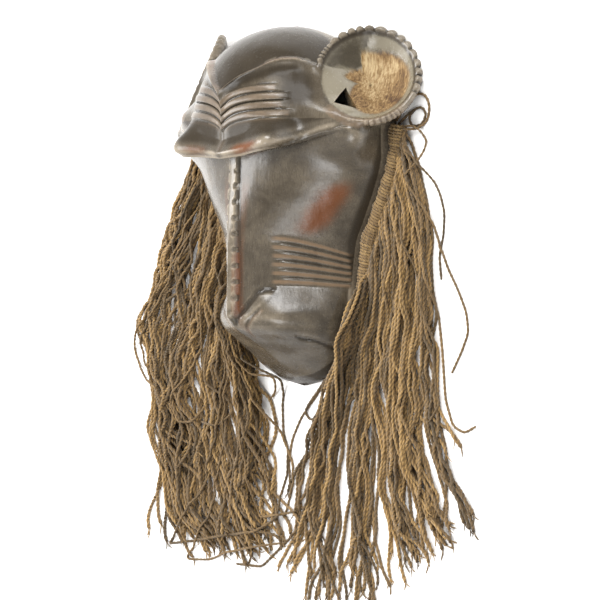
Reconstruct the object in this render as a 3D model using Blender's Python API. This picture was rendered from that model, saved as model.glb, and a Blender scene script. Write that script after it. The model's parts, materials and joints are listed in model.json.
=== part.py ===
"""A carved wooden monkey mask with cord rolls and a long fibre fringe, lying on its rim.

The mask lies face up: +Z comes out of the face, +Y runs up the face to the crown and +X is on the right of
someone who looks at the face. The carving is one solid. A bound roll of cord lies along each side of its rim,
and a fan of fibre locks spreads from each roll over the surface that the mask lies on.
"""
import math

import bmesh
import bpy
import numpy as np
from mathutils import Matrix, Vector

# The carving. Its sections are drawn in millimetres at DRAWN_HEIGHT and scaled to the real height.
MASK_HEIGHT = 0.2705
DRAWN_HEIGHT = 270.5
MM = MASK_HEIGHT / DRAWN_HEIGHT
WALL = 0.009
FRONT_WALL = 0.012
SKULL_RADIUS = 77.0
SKULL_UP = 57.0
SKULL_OUT = 17.0
CHIN = SKULL_UP + SKULL_RADIUS - DRAWN_HEIGHT

# Sections of the face from the brow down: height, half width, ridge height, pointedness, side wall height.
FACE_SECTIONS = (
    (134.0, 8.0, 70.0, 1.0, 17.0),
    (110.0, 56.0, 74.0, 1.0, 17.0),
    (85.0, 82.0, 77.0, 1.0, 17.0),
    (65.0, 96.0, 78.0, 1.0, 17.0),
    (45.0, 94.0, 78.0, 1.1, 15.0),
    (30.0, 91.0, 78.0, 1.25, 12.0),
    (4.0, 80.0, 80.0, 1.3, 11.0),
    (-11.0, 73.0, 81.0, 1.5, 11.0),
    (-30.0, 65.0, 82.5, 1.8, 12.0),
    (-60.0, 60.5, 83.0, 1.85, 12.0),
    (-84.0, 58.5, 83.5, 1.72, 12.0),
    (-91.0, 57.6, 80.0, 1.7, 12.0),
    (-103.0, 54.0, 59.0, 1.7, 10.0),
    (-112.5, 47.5, 41.0, 1.65, 7.0),
    (-121.0, 39.7, 29.0, 1.5, 4.5),
    (-127.0, 31.0, 20.0, 1.3, 2.5),
    (-132.0, 21.0, 11.5, 1.1, 2.0),
    (CHIN, 1.0, 3.0, 1.0, 1.5),
)
BACK_DEPTH = 45.0
BACK_ROUNDNESS = 0.4
SKULL_POINT = 1.13
EAR_ROOT_ANGLE, EAR_ROOT_WIDTH, EAR_ROOT_SWELL = 66.0, 12.0, 9.6
EAR_ROOT_FOOT, EAR_ROOT_TOP = (22.0, 50.0), (66.0, 82.0)

# The winged brow. A line is a height for each turn away from the keel, or starts at the keel and rises.
BROW_TOP_LINE = ((0.0, 83.5), (8.0, 90.2), (15.0, 96.1), (25.0, 102.0), (33.0, 106.5), (41.0, 108.8),
                 (48.0, 108.8), (55.0, 107.3), (62.0, 103.5), (70.0, 100.0), (90.0, 98.0), (180.0, 98.0))
RIBS_TOP, RIBS_TOP_RISE, RIBS_TOP_TURN = 77.0, 13.0, 12.0
RIBS_FOOT, RIBS_FOOT_RISE, RIBS_FOOT_TURN = 53.0, 11.0, 12.0
LIP_LINE = ((0.0, 33.0), (15.0, 34.7), (25.0, 37.0), (34.0, 39.5), (42.0, 43.0), (50.0, 47.0), (67.0, 57.0),
            (80.0, 61.0), (90.0, 62.0), (180.0, 62.0))
BROW_PROUD = 4.5
KEEL_PROUD, KEEL_HOLLOW, KEEL_WIDTH = 4.8, 2.2, 22.0
BROW_CORNER_ANGLE, BROW_CORNER_WIDTH, BROW_CORNER_PROUD = 34.0, 9.5, 12.0
BROW_CORNER_START = 5.0
BROW_FADE = (44.0, 66.0)
LIP_OVERHANG = 3.0
RIB_COUNT = 4
RIB_HEIGHT = 1.8
RIB_END = (34.0, 41.0)

# The nose ridge, the cheek grooves and the muzzle.
RIDGE_HEIGHT = 3.5
RIDGE_HALF_WIDTH = 4.4
RIDGE_FOOT = -84.0
NOTCH_PITCH, NOTCH_PHASE = 12.0, 1.0
NOTCH_DEPTH = 2.2
GROOVE_COUNT = 5
GROOVE_DEPTH = 1.7
GROOVES_TOP, GROOVES_TOP_FALL = -22.8, 13.6
GROOVES_FOOT, GROOVES_FOOT_FALL = -61.7, 2.3
GROOVES_FROM, GROOVES_TO = 33.0, 84.0
PAD_BULGE = 4.5
NOSTRIL_START, NOSTRIL_SLOPE, NOSTRIL_DEPTH = -107.0, 1.3, 3.0
MOUTH_FROM, MOUTH_TO, MOUTH_DEPTH = (46.0, -100.5), (70.0, -110.0), 1.8

# Rings of the carved surface between its lines, from the crown to the chin, and its columns.
ZONE_ROWS = (("dome", 6), ("step", 1), ("shelf", 2), ("ribs", 8), ("lip", 4), ("under", 1), ("cheek", 9),
             ("grooves", 12), ("muzzle", 12))
COLUMNS = 48
FRONT_COLUMN_SHARE = 0.84
CAVITY_ROWS, CAVITY_COLUMNS = 18, 24

# The ears are cups with a beaded rim. Each has its own place, because the mask is carved by eye.
EAR_CUP_RADIUS = 0.0355
EAR_RIM_WIDTH = 0.0045
EAR_RADIUS = EAR_CUP_RADIUS + EAR_RIM_WIDTH
EAR_DEPTH = 0.018
EAR_WALL = 0.007
EAR_TURN = math.radians(38.0)
EAR_TILT = math.radians(23.0)
EAR_BEADS = 30
EAR_BEAD_HEIGHT = 0.0016
EAR_STEPS_PER_BEAD = 2
EAR_CENTRES = {"left": (-86.0, 92.0, 26.0), "right": (92.0, 95.0, 28.0)}
EAR_SIZES = {"left": 0.94, "right": 1.0}
EYELET_RADIUS = 0.0095
EYELET_PLACE = (82.0, 77.0, 40.0)
EYELET_DEPTH = 0.045

# The cord rolls and the fringe.
ROLL_DIAMETER = 0.0085
ROLL_TOP, ROLL_FOOT = 58.0, -76.0
ROLL_POINTS = 15
GAP = 0.0003
LOCK_GAP = 0.0016
LOCKS_PER_SIDE = 9
LOCK_SEGMENTS, LOCK_ROWS = 6, 9
LOCK_ROOT_HEIGHT = 0.012
LOCK_TIP_HEIGHT = 0.005
LOCK_TIP_SHARE = 0.12
RAGGED = 0.05
FAN_EDGES = {
    "right": {
        "outer": ((105.0, 58.0), (132.0, 3.0), (150.0, -34.0), (163.0, -72.0), (170.0, -110.0), (174.0, -170.0),
                  (170.0, -237.0)),
        "inner": ((69.0, -77.0), (64.5, -93.0), (57.5, -110.0), (43.0, -128.0), (25.0, -149.0), (4.0, -185.0),
                  (-8.0, -222.0), (-25.0, -263.0)),
        "reach": 50.0,
        "longest": 1.6,
    },
    "left": {
        "outer": ((-103.0, 56.0), (-120.0, 25.0), (-133.0, 3.0), (-150.0, -34.0), (-165.0, -72.0),
                  (-179.0, -110.0), (-178.0, -147.0), (-173.0, -185.0), (-168.0, -222.0), (-152.0, -255.0)),
        "inner": ((-69.0, -77.0), (-64.5, -93.0), (-57.5, -110.0), (-47.0, -126.0), (-38.0, -149.0),
                  (-37.0, -185.0), (-33.0, -222.0), (-34.0, -272.0)),
        "reach": 28.0,
        "longest": 1.4,
    },
}

MATERIALS = {
    "dark_wood": ((0.035, 0.022, 0.016), 0.38),
    "fibre_cord": ((0.17, 0.105, 0.045), 0.85),
}


def clear_scene():
    """Remove every object of the open file."""
    for item in list(bpy.data.objects):
        bpy.data.objects.remove(item, do_unlink=True)


def new_collection(name):
    """A collection of the scene, for the mask or for its cutters."""
    collection = bpy.data.collections.new(name)
    bpy.context.scene.collection.children.link(collection)
    return collection


def new_material(name):
    """A Principled material with the colour and roughness of MATERIALS."""
    colour, roughness = MATERIALS[name]
    material = bpy.data.materials.new(name)
    material.use_nodes = True
    shader = material.node_tree.nodes["Principled BSDF"]
    shader.inputs["Base Color"].default_value = (*colour, 1.0)
    shader.inputs["Roughness"].default_value = roughness
    shader.inputs["Metallic"].default_value = 0.0
    return material


def new_object(name, body, collection, material=None):
    """Turn a bmesh into a named, smooth shaded object."""
    mesh = bpy.data.meshes.new(name)
    if body.calc_volume(signed=True) < 0.0:
        bmesh.ops.reverse_faces(body, faces=body.faces)
    body.to_mesh(mesh)
    body.free()
    mesh.shade_smooth()
    mesh.set_sharp_from_angle(angle=math.radians(40.0))
    item = bpy.data.objects.new(name, mesh)
    if material is not None:
        mesh.materials.append(material)
    collection.objects.link(item)
    return item


def as_cutter(item):
    """Keep a cutter out of the renders and draw it as wire."""
    item.hide_render = True
    item.display_type = "WIRE"
    return item


def boolean(target, other, operation):
    """Add an exact Boolean of the target with another object."""
    modifier = target.modifiers.new(f"{operation.lower()} {other.name}", "BOOLEAN")
    modifier.operation = operation
    modifier.solver = "EXACT"
    modifier.object = other


def smooth_step(low, high, value):
    """A ramp from 0 at low to 1 at high with soft ends."""
    share = np.clip((value - low) / (high - low), 0.0, 1.0)
    return share * share * (3.0 - 2.0 * share)


def curve_through(places, values, at):
    """A cubic through the given values that never overshoots them; places rise."""
    places, values = np.asarray(places, float), np.asarray(values, float)
    steps = np.diff(places)
    slopes = np.diff(values) / steps
    tangents = np.empty_like(values)
    tangents[0], tangents[-1] = slopes[0], slopes[-1]
    before, after = slopes[:-1], slopes[1:]
    same_way = before * after > 0.0
    harmonic = 2.0 * before * after / np.where(same_way, before + after, 1.0)
    tangents[1:-1] = np.where(same_way, harmonic, 0.0)
    index = np.clip(np.searchsorted(places, at, side="right") - 1, 0, len(steps) - 1)
    share = np.clip((at - places[index]) / steps[index], 0.0, 1.0)
    ahead = values[index + 1] * share ** 2 * (3.0 - 2.0 * share)
    behind = values[index] * (1.0 - share) ** 2 * (1.0 + 2.0 * share)
    bend = steps[index] * share * (1.0 - share)
    return ahead + behind + bend * (tangents[index] * (1.0 - share) - tangents[index + 1] * share)


def face_section(height):
    """Half width, ridge height, pointedness and side wall height of the face at a height."""
    table = np.array(FACE_SECTIONS)[::-1]
    return [curve_through(table[:, 0], table[:, column], height) for column in range(1, 5)]


def skull_radius_at(height):
    """Radius of the round skull at a height."""
    return np.sqrt(np.maximum(SKULL_RADIUS ** 2 - (height - SKULL_UP) ** 2, 0.0))


def ear_root(height, degrees):
    """Swelling of the cheek that carries the lower lip of an ear."""
    span = smooth_step(*EAR_ROOT_FOOT, height) * (1.0 - smooth_step(*EAR_ROOT_TOP, height))
    return EAR_ROOT_SWELL * span * np.exp(-((degrees - EAR_ROOT_ANGLE) / EAR_ROOT_WIDTH) ** 2)


def skull_point(height, angle):
    """Sideways and outward place on the skull, which widens at the temples under the ears."""
    radius = skull_radius_at(height)
    half_width = face_section(height)[0]
    across, depth = np.sin(angle), np.cos(angle)
    point = 1.0 + (SKULL_POINT - 1.0) * smooth_step(120.0, 95.0, height)
    temple = np.maximum(half_width - radius, 0.0) * across ** 10
    sideways = np.sign(across) * (radius + temple) * np.abs(across) ** np.where(depth >= 0.0, point, 1.0)
    back = -BACK_DEPTH * np.abs(depth) ** BACK_ROUNDNESS * np.minimum(1.0, radius / SKULL_RADIUS)
    outward = np.where(depth >= 0.0, radius * np.abs(depth) ** point, back)
    swell = ear_root(height, np.abs(np.degrees(angle)))
    return sideways + swell * across, SKULL_OUT + outward + swell * depth


def face_point(height, angle):
    """Sideways and outward place on the long face below the brow."""
    half_width, ridge, point, wall = face_section(height)
    across, depth = np.sin(angle), np.cos(angle)
    sideways = np.sign(across) * half_width * np.abs(across) ** np.where(depth >= 0.0, point, 1.0)
    front = (ridge - RIDGE_HEIGHT - wall) * np.abs(depth) ** point
    back = -BACK_DEPTH * np.abs(depth) ** BACK_ROUNDNESS
    return sideways, wall + np.where(depth >= 0.0, front, back)


def ribs_relief(share, degrees):
    """Height of the chevron ribs across the brow."""
    phase = np.abs(2.0 * ((share * RIB_COUNT) % 1.0) - 1.0)
    fade = 1.0 - smooth_step(*RIB_END, degrees)
    return (RIB_HEIGHT * (1.0 - phase ** 3) - 0.5) * fade


def grooves_relief(share, degrees):
    """Depth of the parallel grooves across the cheek, between raised ridges."""
    across = share * (GROOVE_COUNT + 1)
    nearest = np.clip(np.round(across), 1, GROOVE_COUNT)
    cut = -GROOVE_DEPTH * np.exp(-((across - nearest) / 0.27) ** 2)
    raised = 0.8 * smooth_step(0.0, 0.12, share) * smooth_step(0.0, 0.12, 1.0 - share)
    window = smooth_step(GROOVES_FROM - 4.0, GROOVES_FROM + 2.0, degrees)
    window = window * (1.0 - smooth_step(GROOVES_TO - 3.0, GROOVES_TO + 4.0, degrees))
    return (cut + raised) * window


def ridge_relief(height, sideways):
    """Height of the notched ridge down the middle of the nose."""
    flank = 1.0 - smooth_step(0.55 * RIDGE_HALF_WIDTH, RIDGE_HALF_WIDTH, np.abs(sideways))
    length = smooth_step(RIDGE_FOOT - 5.0, RIDGE_FOOT + 1.0, height)
    notch = np.abs(np.sin(math.pi * (height - NOTCH_PHASE) / NOTCH_PITCH)) ** 0.6
    return flank * length * (RIDGE_HEIGHT - NOTCH_DEPTH * (1.0 - notch))


def muzzle_relief(height, degrees):
    """The swelling pad of the muzzle with its nostril crease and its mouth line."""
    below_grooves = smooth_step(-62.0, -76.0, height)
    above_chin = smooth_step(-132.0, -112.0, height)
    side = smooth_step(14.0, 40.0, degrees) * (1.0 - smooth_step(62.0, 88.0, degrees))
    pad = PAD_BULGE * below_grooves * above_chin * side
    nostril_line = NOSTRIL_START + NOSTRIL_SLOPE * degrees
    nostril_window = smooth_step(10.0, 17.0, degrees) * (1.0 - smooth_step(32.0, 40.0, degrees))
    below_line = nostril_line - height
    crease = -NOSTRIL_DEPTH * np.exp(-(below_line / 2.6) ** 2)
    wing = 2.6 * np.exp(-((below_line - 7.0) / 5.0) ** 2)
    share = (degrees - MOUTH_FROM[0]) / (MOUTH_TO[0] - MOUTH_FROM[0])
    mouth_line = MOUTH_FROM[1] + share * (MOUTH_TO[1] - MOUTH_FROM[1])
    mouth_window = smooth_step(-0.1, 0.2, share) * (1.0 - smooth_step(0.9, 1.1, share))
    mouth = -MOUTH_DEPTH * np.exp(-((height - mouth_line) / 2.2) ** 2) * mouth_window
    return pad + (crease + wing) * nostril_window + mouth


def rising_line(start, rise, turn, degrees):
    """A line across the brow that starts at the keel and rises in a bow to each side."""
    return start + rise * (1.0 - np.exp(-degrees / turn))


def brow_point(height, angle, share):
    """A point of the winged brow; share runs from its upper rim to its lip."""
    degrees = np.abs(np.degrees(angle))
    fade = 1.0 - smooth_step(*BROW_FADE, degrees)
    sideways, outward = skull_point(height, angle)
    proud = BROW_PROUD * (1.0 - share) + 1.0 * np.sin(math.pi * share)
    at_keel = KEEL_PROUD * (1.0 - share) ** 3 - KEEL_HOLLOW * np.sin(math.pi * share)
    proud = proud + (at_keel - proud) * np.exp(-(degrees / KEEL_WIDTH) ** 2)
    corner = np.exp(-((degrees - BROW_CORNER_ANGLE) / BROW_CORNER_WIDTH) ** 2)
    proud = proud + BROW_CORNER_PROUD * corner * share ** BROW_CORNER_START
    proud = proud + 1.2 * np.exp(-((share - 0.92) / 0.07) ** 2)
    return sideways, outward, proud * fade


def carved_surface(row_zone, row_share, angle):
    """Place of every point of the carved surface, in drawn millimetres.

    row_zone is the index of the zone in ZONE_ROWS, row_share how far down that zone the row lies and angle the
    turn about the long axis, with 0 in front.
    """
    degrees = np.abs(np.degrees(angle))
    brow_top = curve_through(*zip(*BROW_TOP_LINE), degrees)
    ribs_top = rising_line(RIBS_TOP, RIBS_TOP_RISE, RIBS_TOP_TURN, degrees)
    ribs_foot = rising_line(RIBS_FOOT, RIBS_FOOT_RISE, RIBS_FOOT_TURN, degrees)
    lip = curve_through(*zip(*LIP_LINE), degrees)
    recess = lip + LIP_OVERHANG * (1.0 - smooth_step(40.0, 76.0, degrees))
    slope = smooth_step(GROOVES_FROM, GROOVES_TO, degrees)
    grooves_top = GROOVES_TOP - GROOVES_TOP_FALL * slope
    grooves_foot = GROOVES_FOOT - GROOVES_FOOT_FALL * slope
    polar = row_share * np.arccos((brow_top - SKULL_UP) / SKULL_RADIUS)
    lines = {
        "dome": SKULL_UP + SKULL_RADIUS * np.cos(polar),
        "step": brow_top - 1.2 * row_share,
        "shelf": brow_top - 1.2 + (ribs_top - brow_top + 1.2) * row_share,
        "ribs": ribs_top + (ribs_foot - ribs_top) * row_share,
        "lip": ribs_foot + (lip - ribs_foot) * row_share,
        "under": lip + (recess - lip) * row_share,
        "cheek": recess + (grooves_top - recess) * row_share,
        "grooves": grooves_top + (grooves_foot - grooves_top) * row_share,
        "muzzle": grooves_foot + (CHIN - grooves_foot) * np.sin(0.5 * math.pi * row_share) ** 1.1,
    }
    names = [name for name, _ in ZONE_ROWS]
    height = np.select([row_zone == index for index in range(len(names))], [lines[name] for name in names])

    brow_share = np.clip((brow_top - height) / (brow_top - lip), 0.0, 1.0)
    skull_x, skull_z = skull_point(height, angle)
    brow_x, brow_z, proud = brow_point(height, angle, brow_share)
    rib_share = np.where(row_zone == names.index("ribs"), row_share, 0.0)
    on_ribs = (row_zone == names.index("ribs")) & (row_share > 0.0) & (row_share < 1.0)
    proud = proud + np.where(on_ribs, ribs_relief(rib_share, degrees), 0.0)
    proud = np.where(row_zone == names.index("step"), proud * row_share, proud)
    brow_x = brow_x + proud * np.sin(angle)
    brow_z = brow_z + proud * np.cos(angle)

    face_x, face_z = face_point(height, angle)
    groove_share = np.where(row_zone == names.index("grooves"), row_share, 0.0)
    relief = grooves_relief(groove_share, degrees) + muzzle_relief(height, degrees) + ear_root(height, degrees)
    in_front = smooth_step(100.0, 88.0, degrees)
    relief = relief * in_front
    face_x, face_z = face_x + relief * np.sin(angle), face_z + relief * np.cos(angle)
    face_z = face_z + ridge_relief(height, face_x) * in_front

    zone = row_zone[..., None]
    skull = np.stack([skull_x, height, skull_z], axis=-1)
    brow = np.stack([brow_x, height, brow_z], axis=-1)
    face = np.stack([face_x, height, face_z], axis=-1)
    lip_x, lip_z, lip_proud = brow_point(lip, angle, np.ones_like(lip))
    lip_edge = np.stack([lip_x + lip_proud * np.sin(angle), lip, lip_z + lip_proud * np.cos(angle)], axis=-1)
    across = row_share[..., None]
    under = lip_edge + (face - lip_edge) * across
    under[..., 1] = height
    place = np.where(zone == 0, skull, brow)
    place = np.where(zone == names.index("under"), under, place)
    return np.where(zone > names.index("under"), face, place)


def front_weighted_angle(turn):
    """Spread the columns so that most lie in front, and closest beside the nose ridge."""
    share = np.abs(turn) / math.pi
    front = np.clip(share / FRONT_COLUMN_SHARE, 0.0, 1.0)
    back = np.clip((share - FRONT_COLUMN_SHARE) / (1.0 - FRONT_COLUMN_SHARE), 0.0, 1.0)
    return np.sign(turn) * 0.5 * math.pi * (front * (0.55 + 0.45 * front ** 2) + back)


def sphere_grid(columns, rows):
    """A bmesh ball with its poles on Y, and the row and turn of each of its vertices."""
    body = bmesh.new()
    bmesh.ops.create_uvsphere(body, u_segments=columns, v_segments=rows, radius=1.0)
    body.verts.ensure_lookup_table()
    points = np.array([vertex.co[:] for vertex in body.verts])
    row = np.rint(np.arccos(np.clip(points[:, 2], -1.0, 1.0)) / math.pi * rows).astype(int)
    turn = np.arctan2(points[:, 0], points[:, 1])
    return body, row, turn


def move_vertices(body, places):
    """Put the vertices of a bmesh at the given places."""
    for vertex, place in zip(body.verts, places):
        vertex.co = Vector(place)


def make_carved_body(collection, material):
    """The outside of the carving, as a ball pulled into shape row by row."""
    counts = [round(count) for _, count in ZONE_ROWS]
    body, row, turn = sphere_grid(COLUMNS, sum(counts))
    edges = np.cumsum([0] + counts)
    zone = np.clip(np.searchsorted(edges, row, side="left") - 1, 0, len(counts) - 1)
    share = (row - edges[zone]) / np.array(counts)[zone]
    places = carved_surface(zone, share, front_weighted_angle(turn))
    poles = (row == 0) | (row == sum(counts))
    places[poles, 0] = 0.0
    places[row == 0, 2] = SKULL_OUT
    places[row == sum(counts), 2] = FACE_SECTIONS[-1][4]
    move_vertices(body, places * MM)
    return new_object("carved_mask", body, collection, material)


def make_cavity(collection):
    """The hollow behind the face, one wall thickness inside the carving."""
    body, row, turn = sphere_grid(CAVITY_COLUMNS, CAVITY_ROWS)
    wall, front_wall = WALL / MM, FRONT_WALL / MM
    top, foot = SKULL_UP + SKULL_RADIUS - front_wall, CHIN + wall
    share = row / CAVITY_ROWS
    height = 0.5 * (top + foot) + 0.5 * (top - foot) * np.cos(math.pi * share)
    angle = front_weighted_angle(turn)
    half_width, ridge, point, side = face_section(height)
    inner_skull = np.sqrt(np.maximum((SKULL_RADIUS - wall) ** 2 - (height - SKULL_UP) ** 2, 0.0))
    on_skull = smooth_step(30.0, 62.0, height)
    point = point + (SKULL_POINT - point) * on_skull
    front = ridge - RIDGE_HEIGHT - front_wall - side
    front = np.maximum(front, 0.5) * (1.0 - on_skull) + inner_skull * on_skull
    closing = np.sqrt(np.clip((height - foot) / wall, 0.0, 1.0))
    width = np.maximum(half_width - wall, 0.5) * closing
    width = np.minimum(width, np.where(height > SKULL_UP, inner_skull * 1.16, width))
    across, depth = np.sin(angle), np.cos(angle)
    in_front = depth >= 0.0
    places = np.empty((len(row), 3))
    places[:, 0] = np.sign(across) * width * np.abs(across) ** np.where(in_front, point, 1.0)
    places[:, 1] = height
    places[:, 2] = side + np.where(in_front, front * closing * np.abs(depth) ** point,
                                   -1.4 * BACK_DEPTH * closing * np.abs(depth) ** BACK_ROUNDNESS)
    poles = (row == 0) | (row == CAVITY_ROWS)
    places[poles, 0] = 0.0
    places[poles, 2] = side[poles]
    move_vertices(body, places * MM)
    return as_cutter(new_object("cavity", body, collection))


def ear_frame(side):
    """Placement of an ear cup: its local Z looks out of the cup."""
    mirror = 1.0 if side == "right" else -1.0
    flat = Vector((mirror * math.sin(EAR_TURN), 0.0, math.cos(EAR_TURN)))
    out = (math.cos(EAR_TILT) * flat + math.sin(EAR_TILT) * Vector((0.0, 1.0, 0.0))).normalized()
    across = Vector((0.0, 1.0, 0.0)).cross(out).normalized()
    upward = out.cross(across)
    turn = Matrix((across, upward, out)).transposed().to_4x4()
    return Matrix.Translation(Vector(EAR_CENTRES[side]) * MM) @ turn


def make_ear(side, collection, material):
    """A cup turned from its profile, whose rim is carved into a row of beads."""
    scale = EAR_SIZES[side]
    profile = (
        (0.0, -EAR_DEPTH),
        (0.45 * EAR_CUP_RADIUS, -0.90 * EAR_DEPTH),
        (0.82 * EAR_CUP_RADIUS, -0.45 * EAR_DEPTH),
        (EAR_CUP_RADIUS, -0.0008),
        (EAR_RADIUS, -0.0012),
        (EAR_RADIUS, -0.0060),
        (EAR_CUP_RADIUS - 0.001, -0.0085),
        (0.80 * EAR_CUP_RADIUS, -0.45 * EAR_DEPTH - 1.1 * EAR_WALL),
        (0.0, -EAR_DEPTH - EAR_WALL),
    )
    body = bmesh.new()
    vertices = [body.verts.new((radius * scale, 0.0, depth * scale)) for radius, depth in profile]
    edges = [body.edges.new(pair) for pair in zip(vertices, vertices[1:])]
    steps = EAR_BEADS * EAR_STEPS_PER_BEAD
    bmesh.ops.spin(body, geom=vertices + edges, cent=(0.0, 0.0, 0.0), axis=(0.0, 0.0, 1.0),
                   angle=2.0 * math.pi, steps=steps, use_merge=True)
    bmesh.ops.remove_doubles(body, verts=body.verts, dist=0.00001)
    for vertex in body.verts:
        radius = math.hypot(vertex.co.x, vertex.co.y)
        if radius > 0.5 * (EAR_CUP_RADIUS + EAR_RADIUS) * scale:
            turn = math.atan2(vertex.co.y, vertex.co.x)
            bead = abs(math.sin(0.5 * EAR_BEADS * turn))
            grown = 1.0 + EAR_BEAD_HEIGHT * (bead - 0.5) / radius
            vertex.co.x *= grown
            vertex.co.y *= grown
    bmesh.ops.transform(body, matrix=ear_frame(side), verts=body.verts)
    return as_cutter(new_object(f"ear_{side}", body, collection, material))


def make_eyelet(collection):
    """The three cornered hole beside the right ear, where a cord once held the mask."""
    body = bmesh.new()
    bmesh.ops.create_cone(body, cap_ends=True, segments=3, radius1=EYELET_RADIUS, radius2=EYELET_RADIUS,
                          depth=EYELET_DEPTH)
    inward = Vector((0.86, 0.0, 0.51)).to_track_quat("Z", "Y").to_matrix().to_4x4()
    bmesh.ops.transform(body, matrix=Matrix.Translation(Vector(EYELET_PLACE) * MM) @ inward, verts=body.verts)
    return as_cutter(new_object("eyelet", body, collection))


def make_floor_cut(collection):
    """Everything below the rim plane, so that the carving has a flat rim to lie on."""
    body = bmesh.new()
    bmesh.ops.create_cube(body, size=1.0)
    bmesh.ops.translate(body, vec=(0.0, 0.0, -0.5), verts=body.verts)
    return as_cutter(new_object("below_rim", body, collection))


def roll_line(side):
    """Middle line of a cord roll, just outside the rim of the carving, in metres."""
    mirror = 1.0 if side == "right" else -1.0
    heights = np.linspace(ROLL_TOP, ROLL_FOOT, ROLL_POINTS)
    half_width = face_section(heights)[0] * MM
    slope = np.gradient(half_width, heights * MM)
    aside = (0.5 * ROLL_DIAMETER + 2.0 * GAP) * np.sqrt(1.0 + slope ** 2)
    return [Vector((mirror * (x + shift), y * MM, 0.5 * ROLL_DIAMETER))
            for x, shift, y in zip(half_width, aside, heights)]


def make_roll(side, collection, material):
    """A tube for the bound roll of cord along one side of the rim."""
    curve = bpy.data.curves.new(f"cord_roll_{side}", "CURVE")
    curve.dimensions = "3D"
    curve.bevel_depth = 0.5 * ROLL_DIAMETER
    curve.bevel_resolution = 2
    curve.use_fill_caps = True
    spline = curve.splines.new("POLY")
    points = roll_line(side)
    spline.points.add(len(points) - 1)
    for point, place in zip(spline.points, points):
        point.co = (*place, 1.0)
    curve.materials.append(material)
    roll = bpy.data.objects.new(f"cord_roll_{side}", curve)
    collection.objects.link(roll)
    return roll


def fan_edge(points, share):
    """A smooth line through the points of a fan's edge, in drawn millimetres."""
    points = np.array(points)
    along = np.concatenate([[0.0], np.cumsum(np.linalg.norm(np.diff(points, axis=0), axis=1))])
    at = share * along[-1]
    return np.stack([curve_through(along, points[:, axis], at) for axis in (0, 1)], axis=-1)


def fan_place(side, across, along):
    """Place in the fringe: across runs from its outer to its inner edge, along from root to tip."""
    edges = FAN_EDGES[side]
    outer, inner = fan_edge(edges["outer"], along), fan_edge(edges["inner"], along)
    place = outer + (inner - outer) * across[..., None]
    place[..., 1] -= edges["reach"] * np.sin(math.pi * across ** edges["longest"]) * along ** 2
    roots = np.array([(point.x / MM, point.y / MM) for point in roll_line(side)])
    root_x = np.interp(across, np.linspace(0.0, 1.0, len(roots)), roots[:, 0])
    outer_x, inner_x = edges["outer"][0][0], edges["inner"][0][0]
    mirror = 1.0 if side == "right" else -1.0
    clear = root_x + mirror * (0.5 * ROLL_DIAMETER + 2.0 * GAP) / MM
    pull = clear - (outer_x + (inner_x - outer_x) * across)
    place[..., 0] += pull * np.clip(1.0 - along / 0.2, 0.0, 1.0) ** 2
    return place


def make_lock(side, number, collection, material):
    """One flat bottomed lock of the fringe, thick at the roll and thin at its ragged tip."""
    body, row, turn = sphere_grid(LOCK_SEGMENTS, LOCK_ROWS)
    share = row / LOCK_ROWS
    along = share * (1.0 - RAGGED * (1.0 + math.sin(2.4 * number)))
    fullness = np.sqrt(np.clip(np.minimum(share / 0.04, (1.0 - share) / LOCK_TIP_SHARE), 0.0, 1.0))
    middle = (number + 0.5) / LOCKS_PER_SIDE
    half_share = 0.5 / LOCKS_PER_SIDE
    sideways = np.cos(turn) * fullness
    place = fan_place(side, middle + half_share * sideways, along)
    centre = fan_place(side, np.full_like(along, middle), along)
    outward = place - centre
    reach = np.maximum(np.linalg.norm(outward, axis=1), 1e-9)
    inset = np.minimum(0.5 * LOCK_GAP / MM * np.abs(sideways), 0.5 * reach)
    place -= outward / reach[:, None] * inset[:, None]
    top = LOCK_ROOT_HEIGHT + (LOCK_TIP_HEIGHT - LOCK_ROOT_HEIGHT) * share
    height = top * fullness * np.maximum(np.sin(turn), 0.0)
    move_vertices(body, np.column_stack([place * MM, height]))
    return new_object(f"fringe_lock_{side}_{number + 1}", body, collection, material)


def centre_on_floor(objects):
    """Hang every piece on one empty, placed so that the origin is under the middle of the whole."""
    bpy.context.view_layer.update()
    graph = bpy.context.evaluated_depsgraph_get()
    corners = []
    for item in objects:
        mesh = item.evaluated_get(graph).to_mesh()
        corners += [item.matrix_world @ vertex.co for vertex in mesh.vertices]
    low = [min(corner[axis] for corner in corners) for axis in range(3)]
    high = [max(corner[axis] for corner in corners) for axis in range(3)]
    anchor = bpy.data.objects.new("mask_anchor", None)
    bpy.context.scene.collection.objects.link(anchor)
    anchor.location = (-0.5 * (low[0] + high[0]), -0.5 * (low[1] + high[1]), -low[2])
    for item in objects:
        item.parent = anchor


def main():
    """Build the carving, its cord rolls and its fringe."""
    clear_scene()
    mask_parts = new_collection("monkey_mask")
    cutters = new_collection("cutters")
    wood, fibre = new_material("dark_wood"), new_material("fibre_cord")

    carving = make_carved_body(mask_parts, wood)
    cut_tools = []
    for side in ("left", "right"):
        ear = make_ear(side, cutters, wood)
        boolean(carving, ear, "UNION")
        cut_tools.append(ear)
    for cutter in (make_cavity(cutters), make_eyelet(cutters), make_floor_cut(cutters)):
        boolean(carving, cutter, "DIFFERENCE")
        cut_tools.append(cutter)

    pieces = [carving]
    for side in ("left", "right"):
        pieces.append(make_roll(side, mask_parts, fibre))
        pieces += [make_lock(side, number, mask_parts, fibre) for number in range(LOCKS_PER_SIDE)]
    centre_on_floor(pieces)
    anchor = bpy.data.objects["mask_anchor"]
    for cutter in cut_tools:
        cutter.parent = anchor


main()
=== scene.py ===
"""The looks of a carved wooden monkey mask with wound cord rolls and a long fringe of fibre cords.

The mask lies face up on its rim: +Z comes out of the face, +Y runs up the face to the crown and +X is on the right
of someone who looks at it. Shapes are drawn in millimetres in a drawing of their own, whose origin lies on the floor
under the bridge of the nose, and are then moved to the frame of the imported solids.
"""
from __future__ import annotations

import json
import logging
import math
from dataclasses import dataclass, field
from enum import Enum
from typing import Any

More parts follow.
